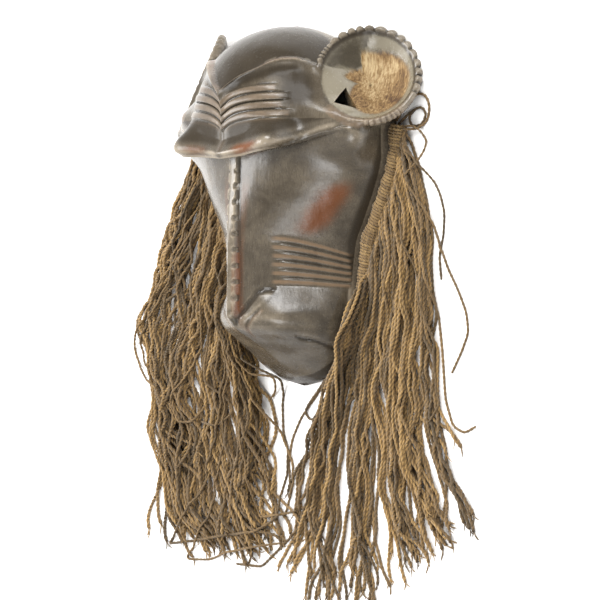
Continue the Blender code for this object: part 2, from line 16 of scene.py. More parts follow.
import bmesh
import bpy
import numpy as np
from mathutils import Matrix, Vector, kdtree, noise

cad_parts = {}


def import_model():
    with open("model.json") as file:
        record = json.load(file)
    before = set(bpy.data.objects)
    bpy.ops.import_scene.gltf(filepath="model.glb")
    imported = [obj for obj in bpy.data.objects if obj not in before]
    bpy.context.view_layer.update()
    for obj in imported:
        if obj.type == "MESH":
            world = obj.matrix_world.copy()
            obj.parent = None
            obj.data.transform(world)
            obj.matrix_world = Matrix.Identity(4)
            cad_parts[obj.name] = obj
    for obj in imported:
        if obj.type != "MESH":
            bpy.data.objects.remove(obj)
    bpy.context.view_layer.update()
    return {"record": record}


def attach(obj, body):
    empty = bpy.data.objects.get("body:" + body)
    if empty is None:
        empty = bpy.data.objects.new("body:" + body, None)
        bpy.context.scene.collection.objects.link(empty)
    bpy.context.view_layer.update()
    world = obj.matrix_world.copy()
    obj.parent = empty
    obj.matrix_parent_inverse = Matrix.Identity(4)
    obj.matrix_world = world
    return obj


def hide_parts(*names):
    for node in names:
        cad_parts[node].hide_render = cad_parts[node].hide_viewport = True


LOG = logging.getLogger("monkey_mask")
MM = 0.001

Line = tuple[tuple[float, float], ...]


class Side(Enum):
    """The side of the mask, as someone who looks at it sees it."""

    LEFT = "left"
    RIGHT = "right"

    @property
    def mirror(self) -> float:
        """+1 on the right of the face and -1 on its left."""
        return 1.0 if self is Side.RIGHT else -1.0


def linear(code: str) -> tuple[float, float, float, float]:
    """Turn an sRGB hex colour into linear red, green, blue and alpha."""
    parts = [int(code[start:start + 2], 16) / 255.0 for start in (1, 3, 5)]
    red, green, blue = (part / 12.92 if part <= 0.04045 else ((part + 0.055) / 1.055) ** 2.4 for part in parts)
    return red, green, blue, 1.0


def add_node(tree: bpy.types.NodeTree, kind: str, settings: dict[str, Any] | None = None,
             inputs: dict[str | int, Any] | None = None) -> bpy.types.Node:
    """Add a shader node with its settings and its values or links.

    Args:
        tree: The node tree that the node joins.
        kind: Blender's name of the node's type.
        settings: Properties of the node; "stops" fills a colour ramp with (place, hex colour) pairs.
        inputs: A value or an output socket for each input, by name or number.

    Returns:
        The new node.
    """
    node = tree.nodes.new(kind)
    for name, value in (settings or {}).items():
        if name == "stops":
            elements = node.color_ramp.elements
            while len(elements) < len(value):
                elements.new(1.0)
            for element, (place, code) in zip(elements, value):
                element.position = place
                element.color = linear(code)
        else:
            setattr(node, name, value)
    for key, value in (inputs or {}).items():
        if isinstance(value, bpy.types.NodeSocket):
            tree.links.new(value, node.inputs[key])
        else:
            node.inputs[key].default_value = value
    return node


def math_value(tree: bpy.types.NodeTree, operation: str, *values: Any, clamp: bool = False) -> bpy.types.NodeSocket:
    """Add a math node and return its result."""
    return add_node(tree, "ShaderNodeMath", {"operation": operation, "use_clamp": clamp},
                    dict(enumerate(values))).outputs[0]


def noise_value(tree: bpy.types.NodeTree, place: bpy.types.NodeSocket, scale: float, detail: float,
                roughness: float, distortion: float = 0.0) -> bpy.types.NodeSocket:
    """Add a noise texture and return its grey value.

    Args:
        tree: The node tree that the texture joins.
        place: Where the texture is read.
        scale: Its scale.
        detail: How many finer layers it has.
        roughness: How strong the finer layers are.
        distortion: How far it is warped.

    Returns:
        The texture's value.
    """
    return add_node(tree, "ShaderNodeTexNoise",
                    inputs={"Vector": place, "Scale": scale, "Detail": detail, "Roughness": roughness,
                            "Distortion": distortion}).outputs["Fac"]


def stretched(tree: bpy.types.NodeTree, place: bpy.types.NodeSocket, scale: tuple[float, float, float],
              turn: float = 0.0) -> bpy.types.NodeSocket:
    """Stretch a texture's coordinates and turn them about their last axis."""
    return add_node(tree, "ShaderNodeMapping",
                    inputs={"Vector": place, "Rotation": (0.0, 0.0, turn), "Scale": scale}).outputs[0]


def painted(tree: bpy.types.NodeTree, name: str) -> bpy.types.NodeOutputs:
    """The channels of the masks that are painted on a mesh under a name."""
    colour = add_node(tree, "ShaderNodeAttribute", {"attribute_name": name}).outputs["Color"]
    return add_node(tree, "ShaderNodeSeparateColor", inputs={"Color": colour}).outputs


def colour_ramp(tree: bpy.types.NodeTree, stops: tuple[tuple[float, str], ...],
                value: bpy.types.NodeSocket) -> bpy.types.NodeSocket:
    """Turn a value into a colour."""
    return add_node(tree, "ShaderNodeValToRGB", {"stops": stops}, {"Fac": value}).outputs["Color"]


def mixed(tree: bpy.types.NodeTree, under: Any, over: Any, factor: Any) -> bpy.types.NodeSocket:
    """Lay one colour over another by a factor."""
    return add_node(tree, "ShaderNodeMix", {"data_type": "RGBA"}, {0: factor, 6: under, 7: over}).outputs[2]


def bumped(tree: bpy.types.NodeTree, height: bpy.types.NodeSocket, strength: float, distance: float,
           normal: bpy.types.NodeSocket | None = None) -> bpy.types.NodeSocket:
    """Add a bump, over another one if its normal is given."""
    inputs = {"Strength": strength, "Distance": distance, "Height": height}
    if normal is not None:
        inputs["Normal"] = normal
    return add_node(tree, "ShaderNodeBump", inputs=inputs).outputs[0]


def new_material(name: str) -> tuple[bpy.types.Material, bpy.types.NodeTree, bpy.types.Node]:
    """Make a material and return it with its node tree and its shader."""
    material = bpy.data.materials.new(name)
    material.use_nodes = True
    return material, material.node_tree, material.node_tree.nodes["Principled BSDF"]


def smooth_step(low: float, high: float, value: Any) -> Any:
    """A ramp from 0 at low to 1 at high with soft ends."""
    share = np.clip((value - low) / (high - low), 0.0, 1.0)
    return share * share * (3.0 - 2.0 * share)


def window(low: float, high: float, soft: float, value: Any) -> Any:
    """1 between low and high, falling to 0 over a soft edge on both sides."""
    return smooth_step(low - soft, low + soft, value) * (1.0 - smooth_step(high - soft, high + soft, value))


def curve_through(places: Any, values: Any, at: Any) -> np.ndarray:
    """A cubic through the given values that never overshoots them.

    Args:
        places: Rising places at which the values are known.
        values: The values there.
        at: Places at which the curve is wanted.

    Returns:
        The curve's value at each wanted place.
    """
    places, values, at = np.asarray(places, float), np.asarray(values, float), np.asarray(at, float)
    steps = np.diff(places)
    slopes = np.diff(values) / steps
    tangents = np.empty_like(values)
    tangents[0], tangents[-1] = slopes[0], slopes[-1]
    before, after = slopes[:-1], slopes[1:]
    same_way = before * after > 0.0
    harmonic = 2.0 * before * after / np.where(same_way, before + after, 1.0)
    tangents[1:-1] = np.where(same_way, harmonic, 0.0)
    index = np.clip(np.searchsorted(places, at, side="right") - 1, 0, len(steps) - 1)
    share = np.clip((at - places[index]) / steps[index], 0.0, 1.0)
    ahead = values[index + 1] * share ** 2 * (3.0 - 2.0 * share)
    behind = values[index] * (1.0 - share) ** 2 * (1.0 + 2.0 * share)
    bend = steps[index] * share * (1.0 - share)
    return ahead + behind + bend * (tangents[index] * (1.0 - share) - tangents[index + 1] * share)


def distance_to_line(first: np.ndarray, second: np.ndarray, points: Line) -> np.ndarray:
    """Distance of every place from a line of straight stretches, in the units of its points."""
    nearest = np.full(np.shape(first), np.inf)
    for (a_first, a_second), (b_first, b_second) in zip(points, points[1:]):
        along = np.array([b_first - a_first, b_second - a_second])
        length = float(along @ along)
        share = ((first - a_first) * along[0] + (second - a_second) * along[1]) / length
        share = np.clip(share, 0.0, 1.0)
        gap = np.hypot(first - a_first - share * along[0], second - a_second - share * along[1])
        nearest = np.minimum(nearest, gap)
    return nearest


def evaluated_copy(item: bpy.types.Object, name: str) -> bpy.types.Mesh:
    """A mesh of an object as its modifiers or its curve make it."""
    bpy.context.view_layer.update()
    graph = bpy.context.evaluated_depsgraph_get()
    mesh = bpy.data.meshes.new_from_object(item.evaluated_get(graph))
    mesh.name = name
    return mesh


def place_object(name: str, data: Any) -> bpy.types.Object:
    """Link a new object at the origin."""
    item = bpy.data.objects.new(name, data)
    bpy.context.scene.collection.objects.link(item)
    return item


def remove_object(item: bpy.types.Object) -> None:
    """Take a helper object out of the file."""
    bpy.data.objects.remove(item, do_unlink=True)


def vertex_places(mesh: bpy.types.Mesh) -> np.ndarray:
    """The places of a mesh's vertices, one row each."""
    places = np.empty(len(mesh.vertices) * 3)
    mesh.vertices.foreach_get("co", places)
    return places.reshape(-1, 3)


def vertex_normals(mesh: bpy.types.Mesh) -> np.ndarray:
    """The normals of a mesh's vertices, one row each."""
    normals = np.empty(len(mesh.vertices) * 3)
    mesh.vertices.foreach_get("normal", normals)
    return normals.reshape(-1, 3)


def neighbour_mean(values: np.ndarray, edges: np.ndarray) -> np.ndarray:
    """Mean of each vertex's neighbours over the edges of a mesh."""
    total = np.zeros_like(values)
    count = np.bincount(edges.ravel(), minlength=len(values)).astype(float)
    for column in range(values.shape[1]):
        total[:, column] += np.bincount(edges[:, 0], weights=values[edges[:, 1], column], minlength=len(values))
        total[:, column] += np.bincount(edges[:, 1], weights=values[edges[:, 0], column], minlength=len(values))
    return total / np.maximum(count, 1.0)[:, None]


def mesh_edges(mesh: bpy.types.Mesh) -> np.ndarray:
    """The vertex pairs of a mesh's edges."""
    edges = np.empty(len(mesh.edges) * 2, dtype=np.int64)
    mesh.edges.foreach_get("vertices", edges)
    return edges.reshape(-1, 2)


def paint(mesh: bpy.types.Mesh, name: str, channels: list[np.ndarray]) -> None:
    """Store up to three masks as a colour attribute on the points of a mesh."""
    colours = np.ones((len(mesh.vertices), 4))
    for column, channel in enumerate(channels):
        colours[:, column] = np.clip(channel, 0.0, 1.0)
    attribute = mesh.attributes.new(name, "FLOAT_COLOR", "POINT")
    attribute.data.foreach_set("color", colours.ravel())


@dataclass(frozen=True)
class WaxedWood:
    """Dense tropical hardwood, carved, smoked and waxed, and worn by handling.

    The wax gives broad soft highlights, the smoke a dark grey brown, and the wear shows redder and paler wood; painted
    shade and painted highlights lie over it.
    """

    # The dark colour also lays the painted shade.
    dark: str = "#2f2921"
    middle: str = "#544c40"
    pale: str = "#6f6555"
    tan: str = "#75604a"
    red: str = "#653819"
    grey: str = "#837c6b"
    # Colour of the wear and of the painted highlights.
    rubbed_and_highlit: str = "#958977"
    raw_dark: str = "#4b331c"
    raw_middle: str = "#82663f"
    raw_pale: str = "#b39d76"
    roughness: float = 0.25
    ior: float = 1.5

    def material(self) -> bpy.types.Material:
        """Build the wood's material on Object coordinates and the painted masks."""
        material, tree, shader = new_material("smoked_hardwood_waxed")
        shader.inputs["IOR"].default_value = self.ior
        place = add_node(tree, "ShaderNodeTexCoord").outputs["Object"]
        # Grain of a dense hardwood, drawn about 1.5 mm wide so that it shows, running up the face.
        along = stretched(tree, place, (650.0, 60.0, 650.0))
        grain = noise_value(tree, along, 1.0, 5.0, 0.6)
        # Blotches about 20 mm wide and specks about 2 mm wide.
        blotch = noise_value(tree, place, 42.0, 6.0, 0.62, 0.4)
        speck = noise_value(tree, place, 420.0, 4.0, 0.7)
        # Torn fibres of the split wood, about 1 mm wide.
        fibre = noise_value(tree, stretched(tree, place, (900.0, 120.0, 500.0), 0.5), 1.0, 5.0, 0.65)
        tan_mask, red_mask, bare_mask = painted(tree, "wear")
        # Painted masks: dark holds mostly painted shade, grey holds dust, and the pale one holds wear and painted
        # highlights.
        dark_mask, grey_mask, pale_wear_and_highlight_mask = painted(tree, "soil")

        colour = self.smoked(tree, along, grain, blotch, speck)
        layers = ((tan_mask, self.tan, 0.85), (red_mask, self.red, 0.85), (grey_mask, self.grey, 0.8),
                  (dark_mask, self.dark, 0.85), (pale_wear_and_highlight_mask, self.rubbed_and_highlit, 0.75))
        for mask, code, strength in layers:
            factor = math_value(tree, "MULTIPLY", self.ragged(tree, mask, blotch, speck, 0.55), strength)
            colour = mixed(tree, colour, linear(code), factor)
        raw_blend = math_value(tree, "MULTIPLY_ADD", blotch, 0.6, math_value(tree, "MULTIPLY", fibre, 0.5))
        raw = colour_ramp(tree, ((0.43, self.raw_dark), (0.54, self.raw_middle), (0.66, self.raw_pale)), raw_blend)
        raw_mask = self.ragged(tree, bare_mask, blotch, speck, 0.5)
        tree.links.new(mixed(tree, colour, raw, raw_mask), shader.inputs["Base Color"])

        dull = math_value(tree, "MULTIPLY_ADD", speck, 0.22, self.roughness - 0.11)
        duller = math_value(tree, "MULTIPLY_ADD", tan_mask, 0.14, dull)
        raw_dull = math_value(tree, "MULTIPLY_ADD", raw_mask, 0.5, duller, clamp=True)
        tree.links.new(raw_dull, shader.inputs["Roughness"])
        # Soot and dust take the gloss off the wax.
        soot = add_node(tree, "ShaderNodeAttribute", {"attribute_name": "sooty"}).outputs["Fac"]
        tree.links.new(math_value(tree, "MULTIPLY_ADD", soot, -0.42, 0.5, clamp=True),
                       shader.inputs["Specular IOR Level"])

        pitted = bumped(tree, blotch, 0.22, 0.0008, bumped(tree, grain, 0.16, 0.0004))
        torn = bumped(tree, math_value(tree, "MULTIPLY", fibre, raw_mask), 0.8, 0.0012, pitted)
        tree.links.new(torn, shader.inputs["Normal"])
        return material

    def smoked(self, tree: bpy.types.NodeTree, along: bpy.types.NodeSocket, grain: bpy.types.NodeSocket,
               blotch: bpy.types.NodeSocket, speck: bpy.types.NodeSocket) -> bpy.types.NodeSocket:
        """Colour of the smoked wood under its wear: blotches, grain and pores filled with soot.

        Args:
            tree: The node tree of the wood.
            along: Coordinates stretched along the grain.
            grain: The grain's noise.
            blotch: The broad noise.
            speck: The fine noise.

        Returns:
            The colour.
        """
        base = colour_ramp(tree, ((0.20, self.dark), (0.52, self.middle), (0.84, self.pale)), blotch)
        grained = mixed(tree, base, linear(self.dark), self.ragged(tree, 0.18, grain, speck, 0.9))
        # Open pores of the wood, about 0.5 mm long.
        pored = add_node(tree, "ShaderNodeMapRange",
                         inputs={"Value": noise_value(tree, along, 2.2, 3.0, 0.7), "From Min": 0.46,
                                 "From Max": 0.68, "To Max": 0.5})
        return mixed(tree, grained, linear(self.dark), pored.outputs[0])

    @staticmethod
    def ragged(tree: bpy.types.NodeTree, mask: Any, broad: bpy.types.NodeSocket, fine: bpy.types.NodeSocket,
               reach: float) -> bpy.types.NodeSocket:
        """Break up the edge of a mask with a broad and a fine noise, and leave its full and empty parts alone."""
        both = math_value(tree, "ADD", broad, fine)
        shift = math_value(tree, "MULTIPLY_ADD", both, 4.0 * reach, -4.0 * reach)
        edge = math_value(tree, "MULTIPLY", mask, math_value(tree, "SUBTRACT", 1.0, mask, clamp=True))
        total = math_value(tree, "MULTIPLY_ADD", shift, edge, mask)
        return add_node(tree, "ShaderNodeMapRange", {"interpolation_type": "SMOOTHSTEP"},
                        {"Value": total, "From Min": 0.05, "From Max": 0.9}).outputs[0]


@dataclass(frozen=True)
class PlantFibre:
    """Hand-laid cord of a dried plant fibre, such as sisal or raffia.

    It is matt, golden to olive brown, with darker fibres and a faint sheen along each ply, and painted shade darkens
    the groove between its plies.
    """

    name: str
    shadow: str
    middle: str
    light: str
    roughness: float = 0.78

    def material(self) -> bpy.types.Material:
        """Build the cord's material on its own fibre coordinates."""
        material, tree, shader = new_material(self.name)
        shader.inputs["Roughness"].default_value = self.roughness
        shader.inputs["Sheen Weight"].default_value = 0.15
        shader.inputs["IOR"].default_value = 1.48
        place = add_node(tree, "ShaderNodeAttribute", {"attribute_name": "fibre"}).outputs["Vector"]
        # Single fibres are about 0.1 mm wide; they are drawn about 0.4 mm wide so that they show.
        strands = noise_value(tree, stretched(tree, place, (2.6, 0.16, 1.0)), 1.0, 4.0, 0.6)
        # Stains run 30 mm and more along a cord.
        stains = noise_value(tree, stretched(tree, place, (0.08, 0.03, 1.0)), 1.0, 3.0, 0.55)
        tone, groove, _ = painted(tree, "tint")
        toned = math_value(tree, "MULTIPLY_ADD", tone, 0.34, -0.15)
        stained = math_value(tree, "MULTIPLY_ADD", stains, 0.45, toned)
        blend = math_value(tree, "MULTIPLY_ADD", strands, 0.55, stained)
        colour = colour_ramp(tree, ((0.32, self.shadow), (0.5, self.middle), (0.68, self.light)), blend)
        # Painted shade: the groove between the two plies is mixed towards the shadow colour.
        tree.links.new(mixed(tree, colour, linear(self.shadow), groove), shader.inputs["Base Color"])
        tree.links.new(bumped(tree, strands, 0.5, 0.0003), shader.inputs["Normal"])
        return material


@dataclass(frozen=True)
class PaleFloor:
    """A matt white photographer's table."""

    colour: str = "#f6f5f3"
    lighter: str = "#faf9f8"
    roughness: float = 0.9

    def material(self) -> bpy.types.Material:
        """Build the table's material."""
        material, tree, shader = new_material("matt_white_table")
        shader.inputs["Roughness"].default_value = self.roughness
        place = add_node(tree, "ShaderNodeTexCoord").outputs["Object"]
        tone = colour_ramp(tree, ((0.0, self.colour), (1.0, self.lighter)), noise_value(tree, place, 3.0, 2.0, 0.5))
        tree.links.new(tone, shader.inputs["Base Color"])
        return material


# Sections of the face from the brow down: height, half width, ridge height, pointedness, side wall height.
FACE_SECTIONS = (
    (134.0, 8.0, 70.0, 1.0, 17.0), (110.0, 56.0, 74.0, 1.0, 17.0), (85.0, 82.0, 77.0, 1.0, 17.0),
    (65.0, 96.0, 78.0, 1.0, 17.0), (45.0, 94.0, 78.0, 1.1, 15.0), (30.0, 91.0, 78.0, 1.25, 12.0),
    (4.0, 80.0, 80.0, 1.39, 11.0), (-11.0, 73.0, 81.0, 1.53, 11.0), (-30.0, 65.0, 82.5, 1.73, 12.0),
    (-60.0, 60.5, 83.0, 1.85, 12.0), (-84.0, 58.5, 83.5, 1.72, 12.0), (-91.0, 57.6, 80.0, 1.7, 12.0),
    (-103.0, 54.0, 59.0, 1.7, 10.0), (-112.5, 47.5, 41.0, 1.65, 7.0), (-121.0, 39.7, 29.0, 1.5, 4.5),
    (-127.0, 31.0, 20.0, 1.3, 2.5), (-132.0, 21.0, 11.5, 1.1, 2.0), (-136.5, 1.0, 3.0, 1.0, 1.5),
)
CHIN = -136.5
RIM_CROWN = 125.0
# What tells the parts of the finished face apart: heights above the lip's lowest point are on the skull, and depths
# above the other two are on the front and on the nose ridge.
LIP_AT_KEEL = 33.0
FRONT_FROM = 14.0
RIDGE_FROM = 50.0


def face_section(height: Any) -> list[np.ndarray]:
    """Half width, ridge height, pointedness and side wall height of the face at a height."""
    table = np.array(FACE_SECTIONS)[::-1]
    return [curve_through(table[:, 0], table[:, column], height) for column in range(1, 5)]


@dataclass
class EarCup:
    """A cupped ear with a rim of carved beads, in drawn millimetres."""

    side: Side
    centre: tuple[float, float, float]
    cup_radius: float = 35.5
    rim_width: float = 4.5
    depth: float = 18.0
    wall: float = 7.0
    turn: float = math.radians(38.0)
    tilt: float = math.radians(23.0)
    beads: int = 31
    bead_height: float = 2.5
    sink: float = 10.0
    steps: int = 256

    def frame(self) -> Matrix:
        """Placement of the cup: its local Z looks out of it."""
        flat = Vector((self.side.mirror * math.sin(self.turn), 0.0, math.cos(self.turn)))
        out = (math.cos(self.tilt) * flat + math.sin(self.tilt) * Vector((0.0, 1.0, 0.0))).normalized()
        across = Vector((0.0, 1.0, 0.0)).cross(out).normalized()
        turned = Matrix((across, out.cross(across), out)).transposed().to_4x4()
        return Matrix.Translation(Vector(self.centre)) @ turned

    def local(self, places: np.ndarray) -> tuple[np.ndarray, np.ndarray, np.ndarray]:
        """Radius, turn in degrees and depth of drawn places in the cup's own frame.

        The turn is 0 away from the head and 90 towards the crown on both ears.
        """
        inverse = np.array(self.frame().inverted())
        own = places @ inverse[:3, :3].T + inverse[:3, 3]
        own[:, 0] *= self.side.mirror
        return np.hypot(own[:, 0], own[:, 1]), np.degrees(np.arctan2(own[:, 1], own[:, 0])), own[:, 2]

    def build(self) -> bpy.types.Object:
        """Turn the cup from its profile and carve its beads."""
        cup, rim = self.cup_radius, self.cup_radius + self.rim_width
        inside = [(cup * share, -self.depth * (1.0 - share ** 2.6) - 0.8 * share) for share in
                  (0.0, 0.12, 0.24, 0.36, 0.48, 0.6, 0.7, 0.79, 0.87, 0.94, 1.0)]
        bead = [(cup + self.rim_width * share, -0.8 + 1.5 * math.sin(math.pi * share) - 0.4 * share)
                for share in (0.12, 0.3, 0.5, 0.7, 0.88)]
        outside = [(rim, -1.6), (rim, -3.6), (rim - 0.6, -5.6), (cup - 1.0, -8.5),
                   (0.80 * cup, -0.45 * self.depth - 1.1 * self.wall), (0.45 * cup, -self.depth - 0.6 * self.wall),
                   (0.0, -self.depth - self.wall)]
        body = bmesh.new()
        vertices = [body.verts.new((radius, 0.0, depth)) for radius, depth in inside + bead + outside]
        edges = [body.edges.new(pair) for pair in zip(vertices, vertices[1:])]
        bmesh.ops.spin(body, geom=vertices + edges, cent=(0.0, 0.0, 0.0), axis=(0.0, 0.0, 1.0),
                       angle=2.0 * math.pi, steps=self.steps, use_merge=True)
        bmesh.ops.remove_doubles(body, verts=body.verts, dist=0.0005)
        for vertex in body.verts:
            self.carve_bead(vertex)
            self.sink_beside_head(vertex)
        bmesh.ops.transform(body, matrix=self.frame(), verts=body.verts)
        bmesh.ops.scale(body, vec=(MM, MM, MM), verts=body.verts)
        return solid_object(f"ear_{self.side.value}", body)

    def carve_bead(self, vertex: bmesh.types.BMVert) -> None:
        """Swell the rim into beads: large ones above, small notches beside the brow and on the lower lip."""
        radius = math.hypot(vertex.co.x, vertex.co.y)
        rim_share = (radius - self.cup_radius) / self.rim_width
        if rim_share < 0.05:
            return
        turn = math.degrees(math.atan2(vertex.co.y, self.side.mirror * vertex.co.x))
        wobble = 2.0 * math.sin(math.radians(3.0 * turn)) + 1.3 * math.sin(math.radians(7.0 * turn))
        large = abs(math.sin(math.radians(0.5 * self.beads * (turn + wobble)))) ** 0.55
        small = abs(math.sin(math.radians(1.05 * self.beads * (turn + wobble)))) ** 0.7
        above = float(window(-24.0, 136.0, 5.0, turn))
        below = float(window(-140.0, -46.0, 6.0, turn)) + float(window(142.0, 172.0, 5.0, turn))
        grown = self.bead_height * (above * (large - 0.45) + 0.7 * below * (small - 0.6))
        share = min(rim_share, 1.0)
        vertex.co.x *= 1.0 + grown * share / radius
        vertex.co.y *= 1.0 + grown * share / radius
        vertex.co.z += 0.75 * grown * math.sin(math.pi * min(share, 0.75))

    def sink_beside_head(self, vertex: bmesh.types.BMVert) -> None:
        """Let the rim run out into the head, so that the brow flows into the cup."""
        reach = math.hypot(vertex.co.x, vertex.co.y) / self.cup_radius
        turn = math.degrees(math.atan2(vertex.co.y, self.side.mirror * vertex.co.x)) % 360.0
        fall = float(window(174.0, 222.0, 11.0, turn)) * float(smooth_step(0.66, 1.0, reach))
        vertex.co.z -= self.sink * fall


def solid_object(name: str, body: bmesh.types.BMesh) -> bpy.types.Object:
    """Turn a closed bmesh into an object whose faces point outwards."""
    if body.calc_volume(signed=True) < 0.0:
        bmesh.ops.reverse_faces(body, faces=body.faces)
    mesh = bpy.data.meshes.new(name)
    body.to_mesh(mesh)
    body.free()
    return place_object(name, mesh)


@dataclass
class Carving:
    """The mask itself, carved from one block: dome, winged brow, notched nose ridge, muzzle and ears."""

    skull_radius: float = 77.0
    skull_up: float = 57.0
    skull_out: float = 17.0
    skull_point: float = 1.13
    back_depth: float = 45.0
    back_roundness: float = 0.4
    wall: float = 9.0
    front_wall: float = 12.0
    brow_top_line: Line = ((0.0, 83.5), (8.0, 90.2), (15.0, 96.1), (25.0, 102.0), (33.0, 106.5), (41.0, 108.8),
                           (48.0, 108.8), (55.0, 107.3), (62.0, 103.5), (70.0, 100.0), (90.0, 98.0),
                           (180.0, 98.0))
    lip_line: Line = ((0.0, 33.0), (15.0, 34.7), (25.0, 37.0), (34.0, 39.5), (42.0, 43.0), (50.0, 47.0),
                      (67.0, 57.0), (80.0, 61.0), (90.0, 62.0), (180.0, 62.0))
    brow_fade: tuple[float, float] = (44.0, 66.0)
    field_depth: float = 4.0
    far_lip_droop: float = 4.5
    ribs_top: tuple[float, float] = (77.0, 13.0)
    ribs_foot: tuple[float, float] = (53.0, 11.0)
    ribs_bend: float = 12.0
    rib_count: int = 4
    rib_height: float = 2.3
    rib_ends: tuple[float, ...] = (35.5, 42.0, 39.5, 43.5)
    ridge_height: float = 3.5
    ridge_half_width: float = 4.3
    ridge_foot: float = -84.0
    notch_pitch: float = 12.0
    notch_phase: float = 1.0
    groove_count: int = 5
    groove_depth: float = 0.8
    grooves_span: tuple[float, float] = (33.0, 84.0)
    grooves_top: tuple[float, float] = (-22.8, 13.6)
    grooves_foot: tuple[float, float] = (-61.7, 2.3)
    nostril: Line = ((-88.5, 9.0), (-79.5, 18.7), (-71.5, 25.1), (-66.5, 27.5), (-64.5, 31.5), (-64.3, 36.0))
    cheek_crease: Line = ((-80.2, 29.2), (-92.1, 18.0), (-99.7, 14.0))
    mouth: Line = ((-100.0, 45.0), (-102.6, 55.2), (-110.1, 71.5))
    zone_rows: tuple[tuple[str, int], ...] = (("dome", 40), ("step", 5), ("shelf", 12), ("ribs", 46), ("lip", 26),
                                              ("under", 7), ("cheek", 58), ("grooves", 58), ("muzzle", 66))
    columns: int = 236
    front_share: float = 0.9
    cavity_rows: int = 44
    cavity_columns: int = 48
    ears: tuple[EarCup, ...] = (EarCup(Side.LEFT, (-86.0, 93.5, 28.5), turn=math.radians(43.0), bead_height=0.8),
                                EarCup(Side.RIGHT, (92.0, 95.0, 28.0)))
    eyelet_radius: float = 9.5
    eyelet_depth: float = 45.0
    eyelet_place: tuple[float, float, float] = (82.0, 77.0, 40.0)
    eyelet_way: tuple[float, float, float] = (0.86, 0.0, 0.51)
    eyelet_turn: float = math.radians(15.0)
    scraper_strokes: int = 60
    sharp_angle: float = math.radians(48.0)
    finish: WaxedWood = field(default_factory=WaxedWood)

    def skull_radius_at(self, height: Any) -> np.ndarray:
        """Radius of the round skull at a height."""
        return np.sqrt(np.maximum(self.skull_radius ** 2 - (height - self.skull_up) ** 2, 0.0))

    @staticmethod
    def ear_root(height: Any, degrees: Any) -> np.ndarray:
        """Swelling of the cheek that carries the lower lip of an ear."""
        span = smooth_step(22.0, 50.0, height) * (1.0 - smooth_step(66.0, 82.0, height))
        return 9.6 * span * np.exp(-((degrees - 66.0) / 12.0) ** 2)

    def skull_point_at(self, height: Any, angle: Any) -> tuple[np.ndarray, np.ndarray]:
        """Sideways and outward place on the skull, which widens at the temples under the ears."""
        radius = self.skull_radius_at(height)
        half_width = face_section(height)[0]
        across, depth = np.sin(angle), np.cos(angle)
        point = 1.0 + (self.skull_point - 1.0) * smooth_step(120.0, 95.0, height)
        temple = np.maximum(half_width - radius, 0.0) * across ** 10
        sideways = np.sign(across) * (radius + temple) * np.abs(across) ** np.where(depth >= 0.0, point, 1.0)
        back = -self.back_depth * np.abs(depth) ** self.back_roundness
        back = back * np.minimum(1.0, radius / self.skull_radius)
        outward = np.where(depth >= 0.0, radius * np.abs(depth) ** point, back)
        swell = self.ear_root(height, np.abs(np.degrees(angle)))
        return sideways + swell * across, self.skull_out + outward + swell * depth

    def face_point(self, height: Any, angle: Any) -> tuple[np.ndarray, np.ndarray]:
        """Sideways and outward place on the long face below the brow."""
        half_width, ridge, point, wall = face_section(height)
        across, depth = np.sin(angle), np.cos(angle)
        sideways = np.sign(across) * half_width * np.abs(across) ** np.where(depth >= 0.0, point, 1.0)
        front = (ridge - self.ridge_height - wall) * np.abs(depth) ** point
        back = -self.back_depth * np.abs(depth) ** self.back_roundness
        return sideways, wall + np.where(depth >= 0.0, front, back)

    def rib_lines(self, degrees: Any) -> tuple[np.ndarray, np.ndarray]:
        """Heights of the upper and the lower edge of the ribs, which rise from the keel."""
        rise = 1.0 - np.exp(-degrees / self.ribs_bend)
        top, foot = (keel + climb * rise for keel, climb in (self.ribs_top, self.ribs_foot))
        return top, foot

    def groove_lines(self, degrees: Any) -> tuple[np.ndarray, np.ndarray]:
        """Heights of the upper and the lower edge of the cheek's grooves, which slope down to the side."""
        slope = smooth_step(*self.grooves_span, degrees)
        top, foot = (start - fall * slope for start, fall in (self.grooves_top, self.grooves_foot))
        return top, foot

    def ribs_relief(self, share: Any, degrees: Any) -> np.ndarray:
        """Height of the chevron ribs across the brow; each rib ends by itself."""
        place = share * self.rib_count
        number = np.clip(np.floor(place), 0, self.rib_count - 1).astype(int)
        phase = np.abs(2.0 * (place - number) - 1.0)
        ends = np.array(self.rib_ends)[number]
        fade = 1.0 - smooth_step(-3.5, 5.0, degrees - ends)
        return (self.rib_height * (1.0 - phase ** 4) - 0.9) * fade

    def grooves_relief(self, share: Any, degrees: Any) -> np.ndarray:
        """Depth of the parallel grooves across the cheek, between rounded ridges."""
        across = share * (self.groove_count + 1)
        nearest = np.clip(np.round(across), 1, self.groove_count)
        apart = across - nearest
        cut = -self.groove_depth * np.exp(-(apart / 0.11) ** 2)
        rounded = -0.4 * np.exp(-(apart / 0.34) ** 2)
        raised = 0.8 * smooth_step(0.0, 0.10, share) * smooth_step(0.0, 0.10, 1.0 - share)
        first, last = self.grooves_span
        start = first + 1.0 * nearest
        inside = smooth_step(-3.0, 9.0, degrees - start) * (1.0 - smooth_step(last - 3.0, last + 3.0, degrees))
        return (cut + rounded + raised) * inside

    def ridge_relief(self, height: Any, sideways: Any) -> np.ndarray:
        """Height of the flat ridge down the nose, with thumbnail notches in its edges."""
        off = np.abs(sideways)
        flank = 1.0 - smooth_step(self.ridge_half_width - 0.7, self.ridge_half_width + 0.8, off)
        length = smooth_step(self.ridge_foot - 5.0, self.ridge_foot + 1.0, height)
        return flank * length * self.ridge_height * (1.0 - 0.95 * self.notches(height, off))

